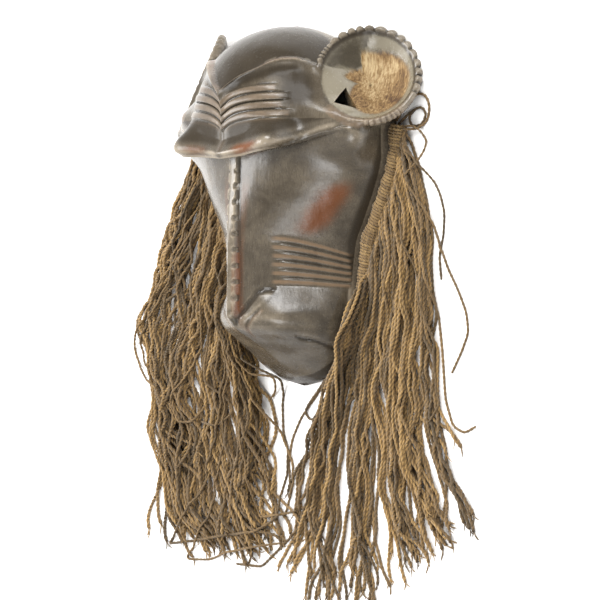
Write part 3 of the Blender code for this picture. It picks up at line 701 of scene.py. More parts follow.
    def notches(self, height: Any, off: Any) -> np.ndarray:
        """1 in the thumbnail notches along both edges of the nose ridge, 0 elsewhere."""
        row = (height - self.notch_phase) / self.notch_pitch
        from_notch = (row - np.round(row)) * self.notch_pitch
        upper = smooth_step(-27.0, -21.0, height)
        reach = 3.0 - 0.3 * (1.0 - upper)
        lower_edge = np.where(from_notch < 0.0, 1.5 + 0.9 * upper, 2.8)
        scoop = ((off - self.ridge_half_width - 0.2) / reach) ** 2 + (from_notch / lower_edge) ** 2
        return (1.0 - smooth_step(0.62, 1.0, scoop)) * window(-76.0, 24.0, 2.0, height)

    def crease(self, height: Any, degrees: Any, line: Line, width: float, scale: float = 1.15) -> np.ndarray:
        """1 on a carved crease, falling to 0 beside it; the line is given as heights and turns."""
        points = tuple((first, second * scale) for first, second in line)
        return np.exp(-(distance_to_line(height, degrees * scale, points) / width) ** 2)

    def muzzle_relief(self, height: Any, degrees: Any) -> np.ndarray:
        """The swelling pad of the muzzle with its nostril crease, its mouth line and a few chips."""
        below_grooves = 1.0 - (1.0 - np.clip((-61.0 - height) / 22.0, 0.0, 1.0)) ** 1.35
        above_chin = smooth_step(-132.0, -84.0, height)
        side = smooth_step(18.0, 42.0, degrees) * (1.0 - smooth_step(64.0, 86.0, degrees))
        pad = 6.4 * below_grooves * above_chin * side
        nostril_line = -107.0 + 1.3 * degrees
        below_line = nostril_line - height
        nostril_window = window(14.0, 36.0, 5.0, degrees)
        wing = 0.8 * np.exp(-((below_line - 7.0) / 4.5) ** 2) * nostril_window
        cuts = -1.9 * self.crease(height, degrees, self.nostril, 1.8)
        cuts = cuts - 1.0 * self.crease(height, degrees, self.cheek_crease, 1.2)
        cuts = cuts - 1.7 * self.crease(height, degrees, self.mouth, 1.1)
        chip = -0.8 * np.exp(-(np.hypot(height + 101.1, 0.95 * (degrees - 32.1)) / 1.3) ** 2)
        shin = 0.9 * np.exp(-((degrees - 79.0) / 4.0) ** 2) * window(-118.0, -66.0, 6.0, height)
        return pad + wing + cuts + chip - shin

    def brow_point(self, height: Any, angle: Any, share: Any) -> tuple[np.ndarray, np.ndarray, np.ndarray]:
        """A point of the winged brow and its height above the skull; share runs from its rim to its lip."""
        degrees = np.abs(np.degrees(angle))
        fade = 1.0 - smooth_step(*self.brow_fade, degrees)
        sideways, outward = self.skull_point_at(height, angle)
        proud = 4.5 * (1.0 - share) + 1.0 * np.sin(math.pi * share)
        at_keel = 4.8 * (1.0 - share) ** 5 - 2.4 * np.sin(math.pi * share)
        proud = proud + (at_keel - proud) * np.exp(-(degrees / 22.0) ** 2)
        corner = np.exp(-((degrees - 34.0) / 9.5) ** 2)
        proud = proud + 15.5 * corner * smooth_step(0.52, 0.92, share) * (1.0 - 0.25 * smooth_step(0.94, 1.0, share))
        field_drop = -self.field_depth * window(0.10, 0.80, 0.09, share) * (1.0 - smooth_step(48.0, 68.0, degrees))
        roll = 2.2 * np.exp(-((share - 0.93) / 0.055) ** 2) * (1.0 - smooth_step(40.0, 60.0, degrees))
        proud = proud + field_drop + roll * (1.0 - 0.7 * corner)
        rim = np.exp(-((share - 0.012) / 0.02) ** 2)
        proud = proud + 1.3 * rim * window(5.0, 50.0, 5.0, degrees)
        keel = 0.9 * np.exp(-(degrees / 2.2) ** 2) * window(0.04, 0.93, 0.04, share)
        return sideways, outward, (proud + keel) * fade

    def lip_height(self, angle: Any) -> np.ndarray:
        """Height of the brow's lower edge, which droops on the left of the face."""
        degrees = np.abs(np.degrees(angle))
        droop = self.far_lip_droop * np.exp(-((degrees - 38.0) / 15.0) ** 2) * (angle < 0.0)
        return curve_through(*zip(*self.lip_line), degrees) - droop

    def surface(self, zone: np.ndarray, share: np.ndarray, angle: np.ndarray) -> np.ndarray:
        """Place of every point of the carved surface, in drawn millimetres.

        Args:
            zone: Number of each point's zone in zone_rows.
            share: How far down that zone its row lies.
            angle: Its turn about the long axis, with 0 in front.

        Returns:
            The places, one row each.
        """
        names = [name for name, _ in self.zone_rows]
        degrees = np.abs(np.degrees(angle))
        brow_top = curve_through(*zip(*self.brow_top_line), degrees)
        ribs_top, ribs_foot = self.rib_lines(degrees)
        lip = self.lip_height(angle)
        recess = lip + 3.0 * (1.0 - smooth_step(40.0, 76.0, degrees))
        grooves_top, grooves_foot = self.groove_lines(degrees)
        polar = share * np.arccos(np.clip((brow_top - self.skull_up) / self.skull_radius, -1.0, 1.0))
        lines = {
            "dome": self.skull_up + self.skull_radius * np.cos(polar),
            "step": brow_top - 1.2 * share,
            "shelf": brow_top - 1.2 + (ribs_top - brow_top + 1.2) * share,
            "ribs": ribs_top + (ribs_foot - ribs_top) * share,
            "lip": ribs_foot + (lip - ribs_foot) * share,
            "under": lip + (recess - lip) * share,
            "cheek": recess + (grooves_top - recess) * share,
            "grooves": grooves_top + (grooves_foot - grooves_top) * share,
            "muzzle": grooves_foot + (CHIN - grooves_foot) * np.sin(0.5 * math.pi * share) ** 1.1,
        }
        height = np.select([zone == index for index in range(len(names))], [lines[name] for name in names])

        brow_share = np.clip((brow_top - height) / (brow_top - lip), 0.0, 1.0)
        skull_x, skull_z = self.skull_point_at(height, angle)
        brow_x, brow_z, proud = self.brow_point(height, angle, brow_share)
        on_ribs = (zone == names.index("ribs")) & (share > 0.0) & (share < 1.0)
        proud = proud + np.where(on_ribs, self.ribs_relief(np.where(on_ribs, share, 0.0), degrees), 0.0)
        proud = np.where(zone == names.index("step"), proud * share, proud)
        brow_x, brow_z = brow_x + proud * np.sin(angle), brow_z + proud * np.cos(angle)

        face_x, face_z = self.face_point(height, angle)
        groove_share = np.where(zone == names.index("grooves"), share, 0.0)
        in_front = smooth_step(100.0, 88.0, degrees)
        relief = self.grooves_relief(groove_share, degrees) + self.muzzle_relief(height, degrees)
        relief = (relief + self.ear_root(height, degrees)) * in_front
        face_x, face_z = face_x + relief * np.sin(angle), face_z + relief * np.cos(angle)
        face_z = face_z + self.ridge_relief(height, face_x) * in_front

        skull = np.stack([skull_x, height, skull_z], axis=-1)
        brow = np.stack([brow_x, height, brow_z], axis=-1)
        face = np.stack([face_x, height, face_z], axis=-1)
        lip_x, lip_z, lip_proud = self.brow_point(lip, angle, np.ones_like(lip))
        lip_edge = np.stack([lip_x + lip_proud * np.sin(angle), lip, lip_z + lip_proud * np.cos(angle)], axis=-1)
        under = lip_edge + (face - lip_edge) * share[..., None]
        under[..., 1] = height
        column = zone[..., None]
        place = np.where(column == 0, skull, brow)
        place = np.where(column == names.index("under"), under, place)
        return np.where(column > names.index("under"), face, place)

    def front_weighted_angle(self, turn: np.ndarray) -> np.ndarray:
        """Spread the columns so that most lie in front, and closest beside the nose ridge."""
        share = np.abs(turn) / math.pi
        front = np.clip(share / self.front_share, 0.0, 1.0)
        back = np.clip((share - self.front_share) / (1.0 - self.front_share), 0.0, 1.0)
        return np.sign(turn) * 0.5 * math.pi * (front * (0.58 + 0.42 * front ** 2) + back)

    @staticmethod
    def ball(columns: int, rows: int) -> tuple[bmesh.types.BMesh, np.ndarray, np.ndarray]:
        """A ball with the row and turn of each of its vertices."""
        body = bmesh.new()
        bmesh.ops.create_uvsphere(body, u_segments=columns, v_segments=rows, radius=1.0)
        points = np.array([vertex.co[:] for vertex in body.verts])
        row = np.rint(np.arccos(np.clip(points[:, 2], -1.0, 1.0)) / math.pi * rows).astype(int)
        return body, row, np.arctan2(points[:, 0], points[:, 1])

    def outside(self) -> bpy.types.Object:
        """The outside of the carving, as a ball pulled into shape row by row."""
        counts = [count for _, count in self.zone_rows]
        body, row, turn = self.ball(self.columns, sum(counts))
        edges = np.cumsum([0] + counts)
        zone = np.clip(np.searchsorted(edges, row, side="left") - 1, 0, len(counts) - 1)
        share = (row - edges[zone]) / np.array(counts)[zone]
        places = self.surface(zone, share, self.front_weighted_angle(turn))
        poles = (row == 0) | (row == sum(counts))
        places[poles, 0] = 0.0
        places[row == 0, 2] = self.skull_out
        places[row == sum(counts), 2] = FACE_SECTIONS[-1][4]
        for vertex, place in zip(body.verts, places * MM):
            vertex.co = Vector(place)
        return solid_object("outside", body)

    def cavity(self) -> bpy.types.Object:
        """The hollow behind the face, one wall thickness inside the carving."""
        body, row, turn = self.ball(self.cavity_columns, self.cavity_rows)
        top, foot = self.skull_up + self.skull_radius - self.front_wall, CHIN + self.wall
        height = 0.5 * (top + foot) + 0.5 * (top - foot) * np.cos(math.pi * row / self.cavity_rows)
        angle = self.front_weighted_angle(turn)
        half_width, ridge, point, side = face_section(height)
        inner_radius = self.skull_radius - self.wall - 0.8 * self.field_depth
        inner_skull = np.sqrt(np.maximum(inner_radius ** 2 - (height - self.skull_up) ** 2, 0.0))
        on_skull = smooth_step(30.0, 62.0, height)
        point = point + (self.skull_point - point) * on_skull
        front = ridge - self.ridge_height - self.front_wall - side
        front = np.maximum(front, 0.5) * (1.0 - on_skull) + inner_skull * on_skull
        closing = np.sqrt(np.clip((height - foot) / self.wall, 0.0, 1.0))
        width = np.maximum(half_width - self.wall, 0.5) * closing
        width = np.minimum(width, np.where(height > self.skull_up, inner_skull * 1.16, width))
        across, depth = np.sin(angle), np.cos(angle)
        in_front = depth >= 0.0
        # The hollow was cut with a gouge, which leaves shallow flutes.
        flutes = 0.5 * np.sin(height * 0.55 + 2.0 * np.sin(angle * 3.0)) * np.sin(angle * 17.0)
        places = np.empty((len(row), 3))
        places[:, 0] = np.sign(across) * width * np.abs(across) ** np.where(in_front, point, 1.0)
        places[:, 1] = height
        places[:, 2] = side + np.where(in_front, front * closing * np.abs(depth) ** point + flutes * closing,
                                       -1.4 * self.back_depth * closing * np.abs(depth) ** self.back_roundness)
        poles = (row == 0) | (row == self.cavity_rows)
        places[poles, 0] = 0.0
        places[poles, 2] = side[poles]
        for vertex, place in zip(body.verts, places * MM):
            vertex.co = Vector(place)
        return solid_object("cavity", body)

    def eyelet(self) -> bpy.types.Object:
        """The three cornered hole beside the right ear, where a cord once held the mask."""
        body = bmesh.new()
        bmesh.ops.create_cone(body, cap_ends=True, segments=3, radius1=self.eyelet_radius,
                              radius2=self.eyelet_radius, depth=self.eyelet_depth)
        inward = Vector(self.eyelet_way).to_track_quat("Z", "Y").to_matrix().to_4x4()
        turned = inward @ Matrix.Rotation(self.eyelet_turn, 4, "Z")
        bmesh.ops.transform(body, matrix=Matrix.Translation(self.eyelet_place) @ turned, verts=body.verts)
        bmesh.ops.scale(body, vec=(MM, MM, MM), verts=body.verts)
        return solid_object("eyelet", body)

    @staticmethod
    def below_rim() -> bpy.types.Object:
        """Everything under the rim plane, so that the carving has a flat rim to lie on."""
        body = bmesh.new()
        bmesh.ops.create_cube(body, size=1.0)
        bmesh.ops.translate(body, vec=(0.0, 0.0, -0.5), verts=body.verts)
        return solid_object("below_rim", body)

    @staticmethod
    def combine(target: bpy.types.Object, others: list[bpy.types.Object], operation: str) -> bpy.types.Object:
        """Join the others to the target or cut them out of it, and drop them."""
        for other in others:
            modifier = target.modifiers.new(other.name, "BOOLEAN")
            modifier.operation = operation
            modifier.solver = "MANIFOLD"
            modifier.object = other
        mesh = evaluated_copy(target, "carved_monkey_mask")
        joined = place_object("joined", mesh)
        for helper in [target, *others]:
            remove_object(helper)
        return joined

    def soften_joints(self, item: bpy.types.Object, before: np.ndarray) -> None:
        """Smooth the carving where an ear runs into the head, as a carver does with a scraper.

        Args:
            item: The joined carving.
            before: The vertices of the head and the ears before they were joined.
        """
        mesh = item.data
        places = vertex_places(mesh)
        known = kdtree.KDTree(len(before))
        for index, place in enumerate(before):
            known.insert(place, index)
        known.balance()
        new = [place for place in places if known.find(place)[2] > 2.0e-6]
        joints = kdtree.KDTree(len(new))
        for index, place in enumerate(new):
            joints.insert(place, index)
        joints.balance()
        gap = np.array([joints.find(place)[2] for place in places]) / MM
        reach = np.full(len(places), 2.2)
        for ear in self.ears:
            radius, turn, _ = ear.local(places / MM)
            beside_brow = window(165.0, 181.0, 6.0, np.abs(turn)) + window(-181.0, -135.0, 8.0, turn)
            near = smooth_step(1.45, 1.15, radius / ear.cup_radius)
            reach = reach + 7.0 * np.clip(beside_brow, 0.0, 1.0) * near
        weight = np.exp(-(gap / reach) ** 2)[:, None]
        edges = mesh_edges(mesh)
        moved = places.copy()
        for _ in range(self.scraper_strokes):
            moved += 0.6 * weight * (neighbour_mean(moved, edges) - moved)
        mesh.vertices.foreach_set("co", moved.ravel())
        mesh.update()

    def roughen(self, mesh: bpy.types.Mesh) -> None:
        """Leave the faint facets of the adze, and tear the bare patch in the right ear."""
        places = vertex_places(mesh)
        normals = vertex_normals(mesh)
        raw = self.bare_patch(places / MM)
        push = np.empty(len(places))
        for index, place in enumerate(places):
            spot = Vector(place)
            push[index] = 0.16 * noise.noise(spot * 95.0) + 0.05 * noise.noise(spot * 330.0)
            if raw[index] > 0.02:
                torn = noise.noise(spot * 420.0) + 0.7 * noise.noise(spot * 900.0)
                push[index] += raw[index] * (0.55 * torn - 0.7)
        push = np.where(places[:, 2] < 0.3 * MM, 0.0, push)
        moved = places + normals * push[:, None] * MM
        mesh.vertices.foreach_set("co", moved.ravel())
        mesh.update()

    def bare_patch(self, drawn: np.ndarray) -> np.ndarray:
        """1 on the patch of the right ear whose surface has split off, 0 elsewhere."""
        ear = self.ears[1]
        radius, turn, depth = ear.local(drawn)
        outline = ((-178.0, 9.0), (-150.0, 15.0), (-112.0, 26.0), (-80.0, 29.0), (-45.0, 30.0), (-20.0, 31.0),
                   (10.0, 31.5), (35.0, 29.5), (62.0, 27.0), (88.0, 24.5), (104.0, 25.0), (116.0, 14.0),
                   (140.0, 17.0), (165.0, 19.0), (180.0, 9.0))
        edge = curve_through(*zip(*outline), turn)
        inside = 1.0 - smooth_step(-3.6, 2.4, radius - edge)
        return inside * smooth_step(-22.0, -19.0, depth) * (1.0 - smooth_step(0.5, 1.5, depth))

    def build(self, origin: Vector) -> bpy.types.Object:
        """Make the carving and dress it.

        Args:
            origin: Where the drawing's origin lies in the frame.

        Returns:
            The finished carving.
        """
        outside = self.outside()
        ears = [ear.build() for ear in self.ears]
        before = np.vstack([vertex_places(item.data) for item in [outside, *ears]])
        joined = self.combine(outside, ears, "UNION")
        self.soften_joints(joined, before)
        carved = self.combine(joined, [self.cavity(), self.eyelet(), self.below_rim()], "DIFFERENCE")
        self.roughen(carved.data)
        WeatheringAndPaintedLight(self, carved.data).paint()
        carved.data.transform(Matrix.Translation(origin))
        carved.name = "carved_monkey_mask"
        carved.data.shade_smooth()
        carved.data.set_sharp_from_angle(angle=self.sharp_angle)
        carved.data.materials.clear()
        carved.data.materials.append(self.finish.material())
        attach(carved, "root")
        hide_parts("carved_mask")
        return carved


class WeatheringAndPaintedLight:
    """Where the carving is worn pale, red, bare, dark or sooty, and where shade and highlights are painted on it, as
    masks on the vertices of its mesh.
    """

    def __init__(self, carving: Carving, mesh: bpy.types.Mesh) -> None:
        """Read the vertices back as places on the face."""
        self.carving = carving
        self.mesh = mesh
        self.drawn = vertex_places(mesh) / MM
        self.x, self.height, self.z = self.drawn.T
        self.off = np.abs(self.x)
        _, _, point, self.wall = face_section(self.height)
        on_skull = self.height > LIP_AT_KEEL
        power = np.where(on_skull, carving.skull_point, point)
        base = np.where(on_skull, carving.skull_out, self.wall)
        slope = self.off / np.maximum(self.z - base, 0.05)
        self.degrees = np.degrees(np.arctan(slope ** (1.0 / power)))
        self.outer = self.z > FRONT_FROM
        self.brow_top = curve_through(*zip(*carving.brow_top_line), self.degrees)
        self.lip = carving.lip_height(np.radians(np.sign(self.x) * self.degrees))
        self.brow_share = (self.brow_top - self.height) / (self.brow_top - self.lip)
        self.ribs_top, self.ribs_foot = carving.rib_lines(self.degrees)
        self.on_ribs, self.rib_phase = self.ribs()
        self.on_grooves, self.from_groove = self.grooves()
        self.raw = carving.bare_patch(self.drawn)
        self.rim = np.exp(-((self.height - self.brow_top + 0.8) / 1.5) ** 2) * window(1.0, 52.0, 4.0, self.degrees)
        lip_front = window(12.0, 30.0, 6.0, self.degrees)
        self.lip_wear = np.exp(-((self.height - self.lip - 5.0) / 4.5) ** 2) * lip_front
        patch_wide = np.exp(-((self.degrees - 58.5 - 0.42 * (self.height + 5.0)) / 8.5) ** 2)
        self.patch = patch_wide * np.exp(-((self.height + 4.0) / 19.0) ** 4) * (self.x > 0.0)
        # Painted shade on the side wall along the rim, which lies in shadow.
        cheek = smooth_step(-64.0, -25.0, self.height)
        beside = 1.0 - smooth_step(10.5 + 3.5 * cheek, 12.5 + 10.0 * cheek, self.z)
        self.side_wall = beside * (self.height < 62.0)
        field = window(0.08, 0.84, 0.05, self.brow_share) * window(4.0, 64.0, 5.0, self.degrees)
        self.brow_field = field * self.outer * (1.0 - self.on_ribs)
        self.creases = (carving.crease(self.height, self.degrees, carving.nostril, 1.8)
                        + carving.crease(self.height, self.degrees, carving.mouth, 1.3))

    def ribs(self) -> tuple[np.ndarray, np.ndarray]:
        """How far each vertex is on the ribs, and how far it is from the middle of its rib."""
        carving = self.carving
        place = np.clip((self.ribs_top - self.height) / (self.ribs_top - self.ribs_foot), 0.0, 1.0)
        place = place * carving.rib_count
        number = np.clip(np.floor(place), 0, carving.rib_count - 1).astype(int)
        before_end = 1.0 - smooth_step(0.0, 3.0, self.degrees - np.array(carving.rib_ends)[number])
        on_ribs = ((self.height < self.ribs_top) & (self.height > self.ribs_foot)) * before_end
        return on_ribs, np.abs(2.0 * (place - number) - 1.0)

    def grooves(self) -> tuple[np.ndarray, np.ndarray]:
        """How far each vertex is on the cheek's grooves, and how far it is from the nearest groove."""
        count = self.carving.groove_count
        top, foot = self.carving.groove_lines(self.degrees)
        place = (top - self.height) / (top - foot) * (count + 1)
        on_grooves = window(0.25, count + 0.75, 0.2, place) * window(34.0, 85.0, 2.0, self.degrees)
        return on_grooves, np.abs(place - np.clip(np.round(place), 1, count))

    def tan(self) -> np.ndarray:
        """Wood worn to tan: the ribs, the ridges between the grooves, the brow's rim and the lower lip of an ear."""
        height, degrees = self.height, self.degrees
        below_ribs = np.exp(-((height - self.ribs_foot + 2.2) / 1.4) ** 2) * window(3.0, 42.0, 3.0, degrees)
        tan = 0.42 * self.on_ribs * (1.0 - smooth_step(0.5, 0.85, self.rib_phase))
        tan += 0.75 * self.on_grooves * smooth_step(0.2, 0.34, self.from_groove)
        tan += 0.5 * below_ribs + 0.35 * self.rim
        tan += 0.5 * self.carving.crease(height, degrees, self.carving.cheek_crease, 1.6)
        for ear in self.carving.ears:
            radius, turn, depth = ear.local(self.drawn)
            edge = window(0.96, 1.2, 0.03, radius / ear.cup_radius) * (depth > -4.0)
            tan += 0.45 * edge * window(-140.0, -40.0, 6.0, turn)
        return tan

    def red(self) -> np.ndarray:
        """Wood worn red: the patch on the cheek, beside the nose ridge and on the brow's lip and keel."""
        height, degrees = self.height, self.degrees
        near = np.where(self.x > 0.0, 1.0, 0.55)
        beside_ridge = window(8.5, 15.5, 2.5, degrees) * window(-82.0, -36.0, 7.0, height)
        keel = np.exp(-(degrees / 5.0) ** 2) * window(36.0, 52.0, 5.0, height)
        streak = window(10.0, 18.0, 3.0, degrees) * window(-100.0, 20.0, 10.0, height)
        worn = 0.5 * beside_ridge + 0.9 * self.lip_wear
        return 0.95 * self.patch + near * worn + 0.2 * keel + 0.35 * self.rim + 0.35 * streak

    def dark_and_grey(self, hollow: np.ndarray) -> tuple[np.ndarray, np.ndarray]:
        """Darker hollows, ear rims and brow beside the ribs, painted shade and a painted dark reflection, and grey
        dust in the ears.

        Args:
            hollow: How far each vertex lies in a hollow.

        Returns:
            The mask of the darkening, most of it painted shade, and the mask of the dust.
        """
        height, degrees, outer, top = self.height, self.degrees, self.outer, self.brow_top
        beside_ribs = window(40.0, 58.0, 6.0, degrees) * window(74.0, 98.0, 6.0, height) * outer
        # A band of painted shade in the hollow under the brow's rim bead.
        strip = np.exp(-((height - 0.5 * (top + self.ribs_top)) / 5.0) ** 2) * window(6.0, 50.0, 5.0, degrees)
        # A painted dark reflection on the muzzle's pad, under its highlight.
        muzzle_dark_reflection = np.exp(-(np.hypot((height + 79.0) / 5.0, (degrees - 50.0) / 8.0)) ** 2)
        # Painted shade: a dark line where the nose ridge's edge casts its shadow, and the shade in its thumbnail
        # notches.
        near_ridge = np.exp(-((self.off - 6.0) / 1.0) ** 2) * window(-80.0, 30.0, 4.0, height)
        near_ridge = (near_ridge + self.carving.notches(height, self.off) * (self.off < 5.2)) * (self.z > RIDGE_FROM)
        near_ridge *= 0.6 + 0.1 * smooth_step(-34.0, -20.0, height)
        # Painted shade in the gaps between the ribs and along the cheek's grooves.
        dark = 0.6 * self.on_ribs * smooth_step(0.72, 0.95, self.rib_phase)
        dark += 0.15 * self.on_grooves * (1.0 - smooth_step(0.08, 0.18, self.from_groove))
        dark += 0.9 * beside_ribs + 0.9 * strip * outer + 0.45 * muzzle_dark_reflection + 1.1 * self.side_wall + near_ridge
        # Painted shade in the nostril and mouth creases.
        dark += 0.7 * self.creases * (self.outer & (height < LIP_AT_KEEL))
        # Painted shade that darkens the dome.
        dark += 0.85 * (height > top + 1.0) * outer
        grey = 0.15 * (height > top) * outer
        for ear in self.carving.ears:
            radius, turn, depth = ear.local(self.drawn)
            reach = radius / ear.cup_radius
            cup = (1.0 - smooth_step(0.93, 1.0, reach)) * (depth > -20.0)
            edge = window(0.96, 1.2, 0.03, reach) * (depth > -4.0)
            grey += 0.85 * cup * (depth < 2.0)
            dark += 0.45 * edge * window(-30.0, 140.0, 5.0, turn) - 0.4 * cup
        dark += 0.35 * hollow * (1.0 - 0.8 * self.on_grooves)
        # Painted shade in the brow's hollow between the ribs and its lip.
        dark += 0.8 * self.brow_field * (height < self.ribs_foot - 1.0)
        return dark, grey

    def rubbed_and_highlit(self, convex: np.ndarray) -> np.ndarray:
        """Edges worn pale by hands on whatever stands proud and on the nose ridge; a painted highlight along the
        brow's lip; and a line of painted highlight and wear on the muzzle's side edge.

        Args:
            convex: How far each vertex stands proud.

        Returns:
            The mask.
        """
        height, degrees = self.height, self.degrees
        ridge = (1.0 - smooth_step(3.8, 4.8, self.off)) * window(-80.0, 30.0, 3.0, height) * (self.z > RIDGE_FROM)
        # A line of painted highlight and wear along the edge between the muzzle and its side wall, and a painted
        # highlight along the brow's lip.
        edge_line = np.exp(-((self.z - self.wall - 1.2) / 1.0) ** 2) * window(-122.0, -62.0, 3.0, height)
        lip_band = np.exp(-((self.brow_share - 0.95) / 0.045) ** 2) * window(3.0, 66.0, 3.0, degrees) * self.outer
        rubbed_and_highlit = 0.5 * convex * (1.0 - 0.8 * np.clip(self.creases, 0.0, 1.0)) + 0.45 * ridge + 0.2 * self.rim
        return rubbed_and_highlit + 0.85 * edge_line * (self.off > 25.0) + 0.6 * lip_band * (1.0 - self.lip_wear)

    def sooty(self) -> np.ndarray:
        """Where the wax has lost its gloss."""
        height, degrees = self.height, self.degrees
        spot = np.exp(-(np.hypot((degrees - 59.0) / 7.0, (height - 71.0) / 4.0)) ** 2)
        cheek_middle = window(22.0, 50.0, 7.0, degrees) * window(-16.0, 24.0, 11.0, height)
        sooty = 0.95 * self.brow_field * (1.0 - spot) + 0.8 * (height > self.brow_top + 1.0) * self.outer
        sooty += 0.8 * self.side_wall + 0.5 * cheek_middle + 0.85 * self.lip_wear
        return np.clip(sooty + 0.6 * self.patch + 0.45 * self.on_grooves, 0.0, 1.0)

    def standing_proud(self) -> np.ndarray:
        """How far each vertex stands over its surroundings, in millimetres."""
        edges = mesh_edges(self.mesh)
        blurred = self.drawn
        for _ in range(3):
            blurred = neighbour_mean(blurred, edges)
        proud = np.einsum("ij,ij->i", self.drawn - blurred, vertex_normals(self.mesh))[:, None]
        return 0.5 * (proud + neighbour_mean(proud, edges))[:, 0]

    def paint(self) -> None:
        """Store the masks on the mesh."""
        proud = self.standing_proud()
        dark, grey = self.dark_and_grey(smooth_step(0.05, 0.30, -proud))
        rubbed_and_highlit = self.rubbed_and_highlit(smooth_step(0.05, 0.30, proud))
        whole = 1.0 - self.raw
        paint(self.mesh, "wear", [self.tan() * whole, self.red() * whole, self.raw])
        # Red: darkening, most of it painted shade; green: dust; blue: wear and painted highlights.
        paint(self.mesh, "soil", [dark * whole, grey * whole, rubbed_and_highlit * whole])
        attribute = self.mesh.attributes.new("sooty", "FLOAT", "POINT")
        attribute.data.foreach_set("value", self.sooty())


@dataclass
class CordRoll:
    """A bundle of fibre along one side of the rim, closely wound with thin cord."""

    side: Side
    diameter: float = 11.0
    gap: float = 1.2
    top: float = 58.0
    foot: float = -76.0
    pitch: float = 2.3
    winding: float = 1.3
    points_per_turn: int = 14
    knots: tuple[tuple[float, float, float], ...] = ((-27.0, 1.7, 4.5), (52.0, 1.5, 5.0), (-68.0, 1.0, 4.0))

    def middle(self, heights: np.ndarray) -> np.ndarray:
        """Middle line of the roll, just outside the rim, in drawn millimetres."""
        half_width = face_section(heights)[0]
        slope = np.gradient(half_width, heights)
        aside = (0.5 * self.diameter + self.gap) * np.sqrt(1.0 + slope ** 2)
        raised = np.full_like(heights, 0.5 * self.diameter)
        return np.column_stack([self.side.mirror * (half_width + aside), heights, raised])

    def build(self, origin: Vector, finish: bpy.types.Material) -> bpy.types.Object:
        """Wind the roll and dress it.

        Args:
            origin: Where the drawing's origin lies in the frame.
            finish: The cord's material.

        Returns:
            The finished roll.
        """
        rng = np.random.default_rng(41 if self.side is Side.LEFT else 42)
        heights = np.linspace(self.top, self.foot, 60)
        line = self.middle(heights)
        along = np.concatenate([[0.0], np.cumsum(np.linalg.norm(np.diff(line, axis=0), axis=1))])
        turns = along[-1] / self.pitch
        count = int(turns * self.points_per_turn)
        share = np.linspace(0.0, 1.0, count)
        drift = np.cumsum(rng.normal(0.0, 0.02, count))
        at = np.clip(share * along[-1] + 0.35 * np.sin(drift * 3.0), 0.0, along[-1])
        centre = np.column_stack([np.interp(at, along, line[:, axis]) for axis in range(3)])
        tangent = np.gradient(centre, axis=0)
        tangent /= np.maximum(np.linalg.norm(tangent, axis=1), 1e-9)[:, None]
        upward = np.array([0.0, 0.0, 1.0])
        aside = np.cross(tangent, upward)
        aside /= np.linalg.norm(aside, axis=1)[:, None]
        turn = 2.0 * math.pi * turns * share
        bulges = 0.75 * np.abs(np.sin(at * 0.17)) ** 0.6 + 0.25 * np.sin(at * 0.61)
        radius = 0.5 * self.diameter - self.winding + bulges + 0.16 * np.sin(turn * 0.37)
        for place, swell, wide in self.knots:
            radius = radius + swell * np.exp(-((centre[:, 1] - place) / wide) ** 2)
        helix = centre + radius[:, None] * (np.cos(turn)[:, None] * aside + np.sin(turn)[:, None] * upward)
        helix[:, 2] = np.maximum(helix[:, 2], self.winding)
        strands = [Strand(helix, self.winding, 0.75, twist=9.0, ply=False)]
        core = centre[::8]
        strands.append(Strand(core, 0.5 * self.diameter - 1.3 * self.winding, 0.1, twist=60.0, ply=False))
        item = cords_object(f"wound_roll_{self.side.value}", strands, origin)
        item.data.materials.append(finish)
        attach(item, "root")
        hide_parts(f"cord_roll_{self.side.value}")
        return item


@dataclass
class Strand:
    """One cord of the fringe: its middle line in drawn millimetres, its half thickness and its tone."""

    line: np.ndarray
    radius: float
    tint: float
    twist: float = 8.0
    ply: bool = True
    frayed: float = 0.0
    loose_fibres: int = 3

    def frayed_tip(self, rng: np.random.Generator) -> list[Strand]:
        """The loose fibres at the cord's end."""
        tip, step = self.line[-1], self.line[-1] - self.line[-4]
        step = step / max(float(np.linalg.norm(step)), 1e-6)
        aside = np.array([-step[1], step[0], 0.0])
        hairs = []
        for spread in rng.uniform(-0.55, 0.55, self.loose_fibres):
            reach = rng.uniform(3.0, 7.5)
            along = np.linspace(-2.0, reach, 5)
            bend = spread * np.maximum(along, 0.0) + 0.04 * np.sign(spread) * np.maximum(along, 0.0) ** 2
            line = tip + along[:, None] * step + bend[:, None] * aside
            line[:, 2] = np.maximum(line[:, 2] + rng.uniform(-0.4, 0.6), 0.5)
            hairs.append(Strand(line, rng.uniform(0.4, 0.62), self.tint, twist=20.0))
        return hairs


# Radius of one ply, where the whole cord has a half thickness of 1.
PLY_RADIUS = 0.69


def profile_object(ply: bool) -> bpy.types.Object:
    """The cross section of a cord of half thickness 1: two plies side by side, or one round one."""
    if ply:
        turns = [math.radians(degrees) for degrees in (-99.0, -36.0, 36.0, 99.0)]
        lobe = [(1.0 - PLY_RADIUS + PLY_RADIUS * math.cos(turn), PLY_RADIUS * math.sin(turn)) for turn in turns]
        points = lobe + [(-x, -y) for x, y in lobe]
    else:
        points = [(math.cos(turn), math.sin(turn)) for turn in np.linspace(0.0, 2.0 * math.pi, 7)[:-1]]
    curve = bpy.data.curves.new("cord_section", "CURVE")
    curve.dimensions = "2D"
    spline = curve.splines.new("POLY")
    spline.points.add(len(points) - 1)
    spline.use_cyclic_u = True
    for point, (x, y) in zip(spline.points, points):
        point.co = (x * MM, y * MM, 0.0, 1.0)
    return place_object("cord_section", curve)


def close_ends(mesh: bpy.types.Mesh) -> None:
    """Close the open ends of swept cords."""
    body = bmesh.new()
    body.from_mesh(mesh)
    ends = [edge for edge in body.edges if edge.is_boundary]
    bmesh.ops.holes_fill(body, edges=ends, sides=16)
    body.to_mesh(mesh)
    body.free()


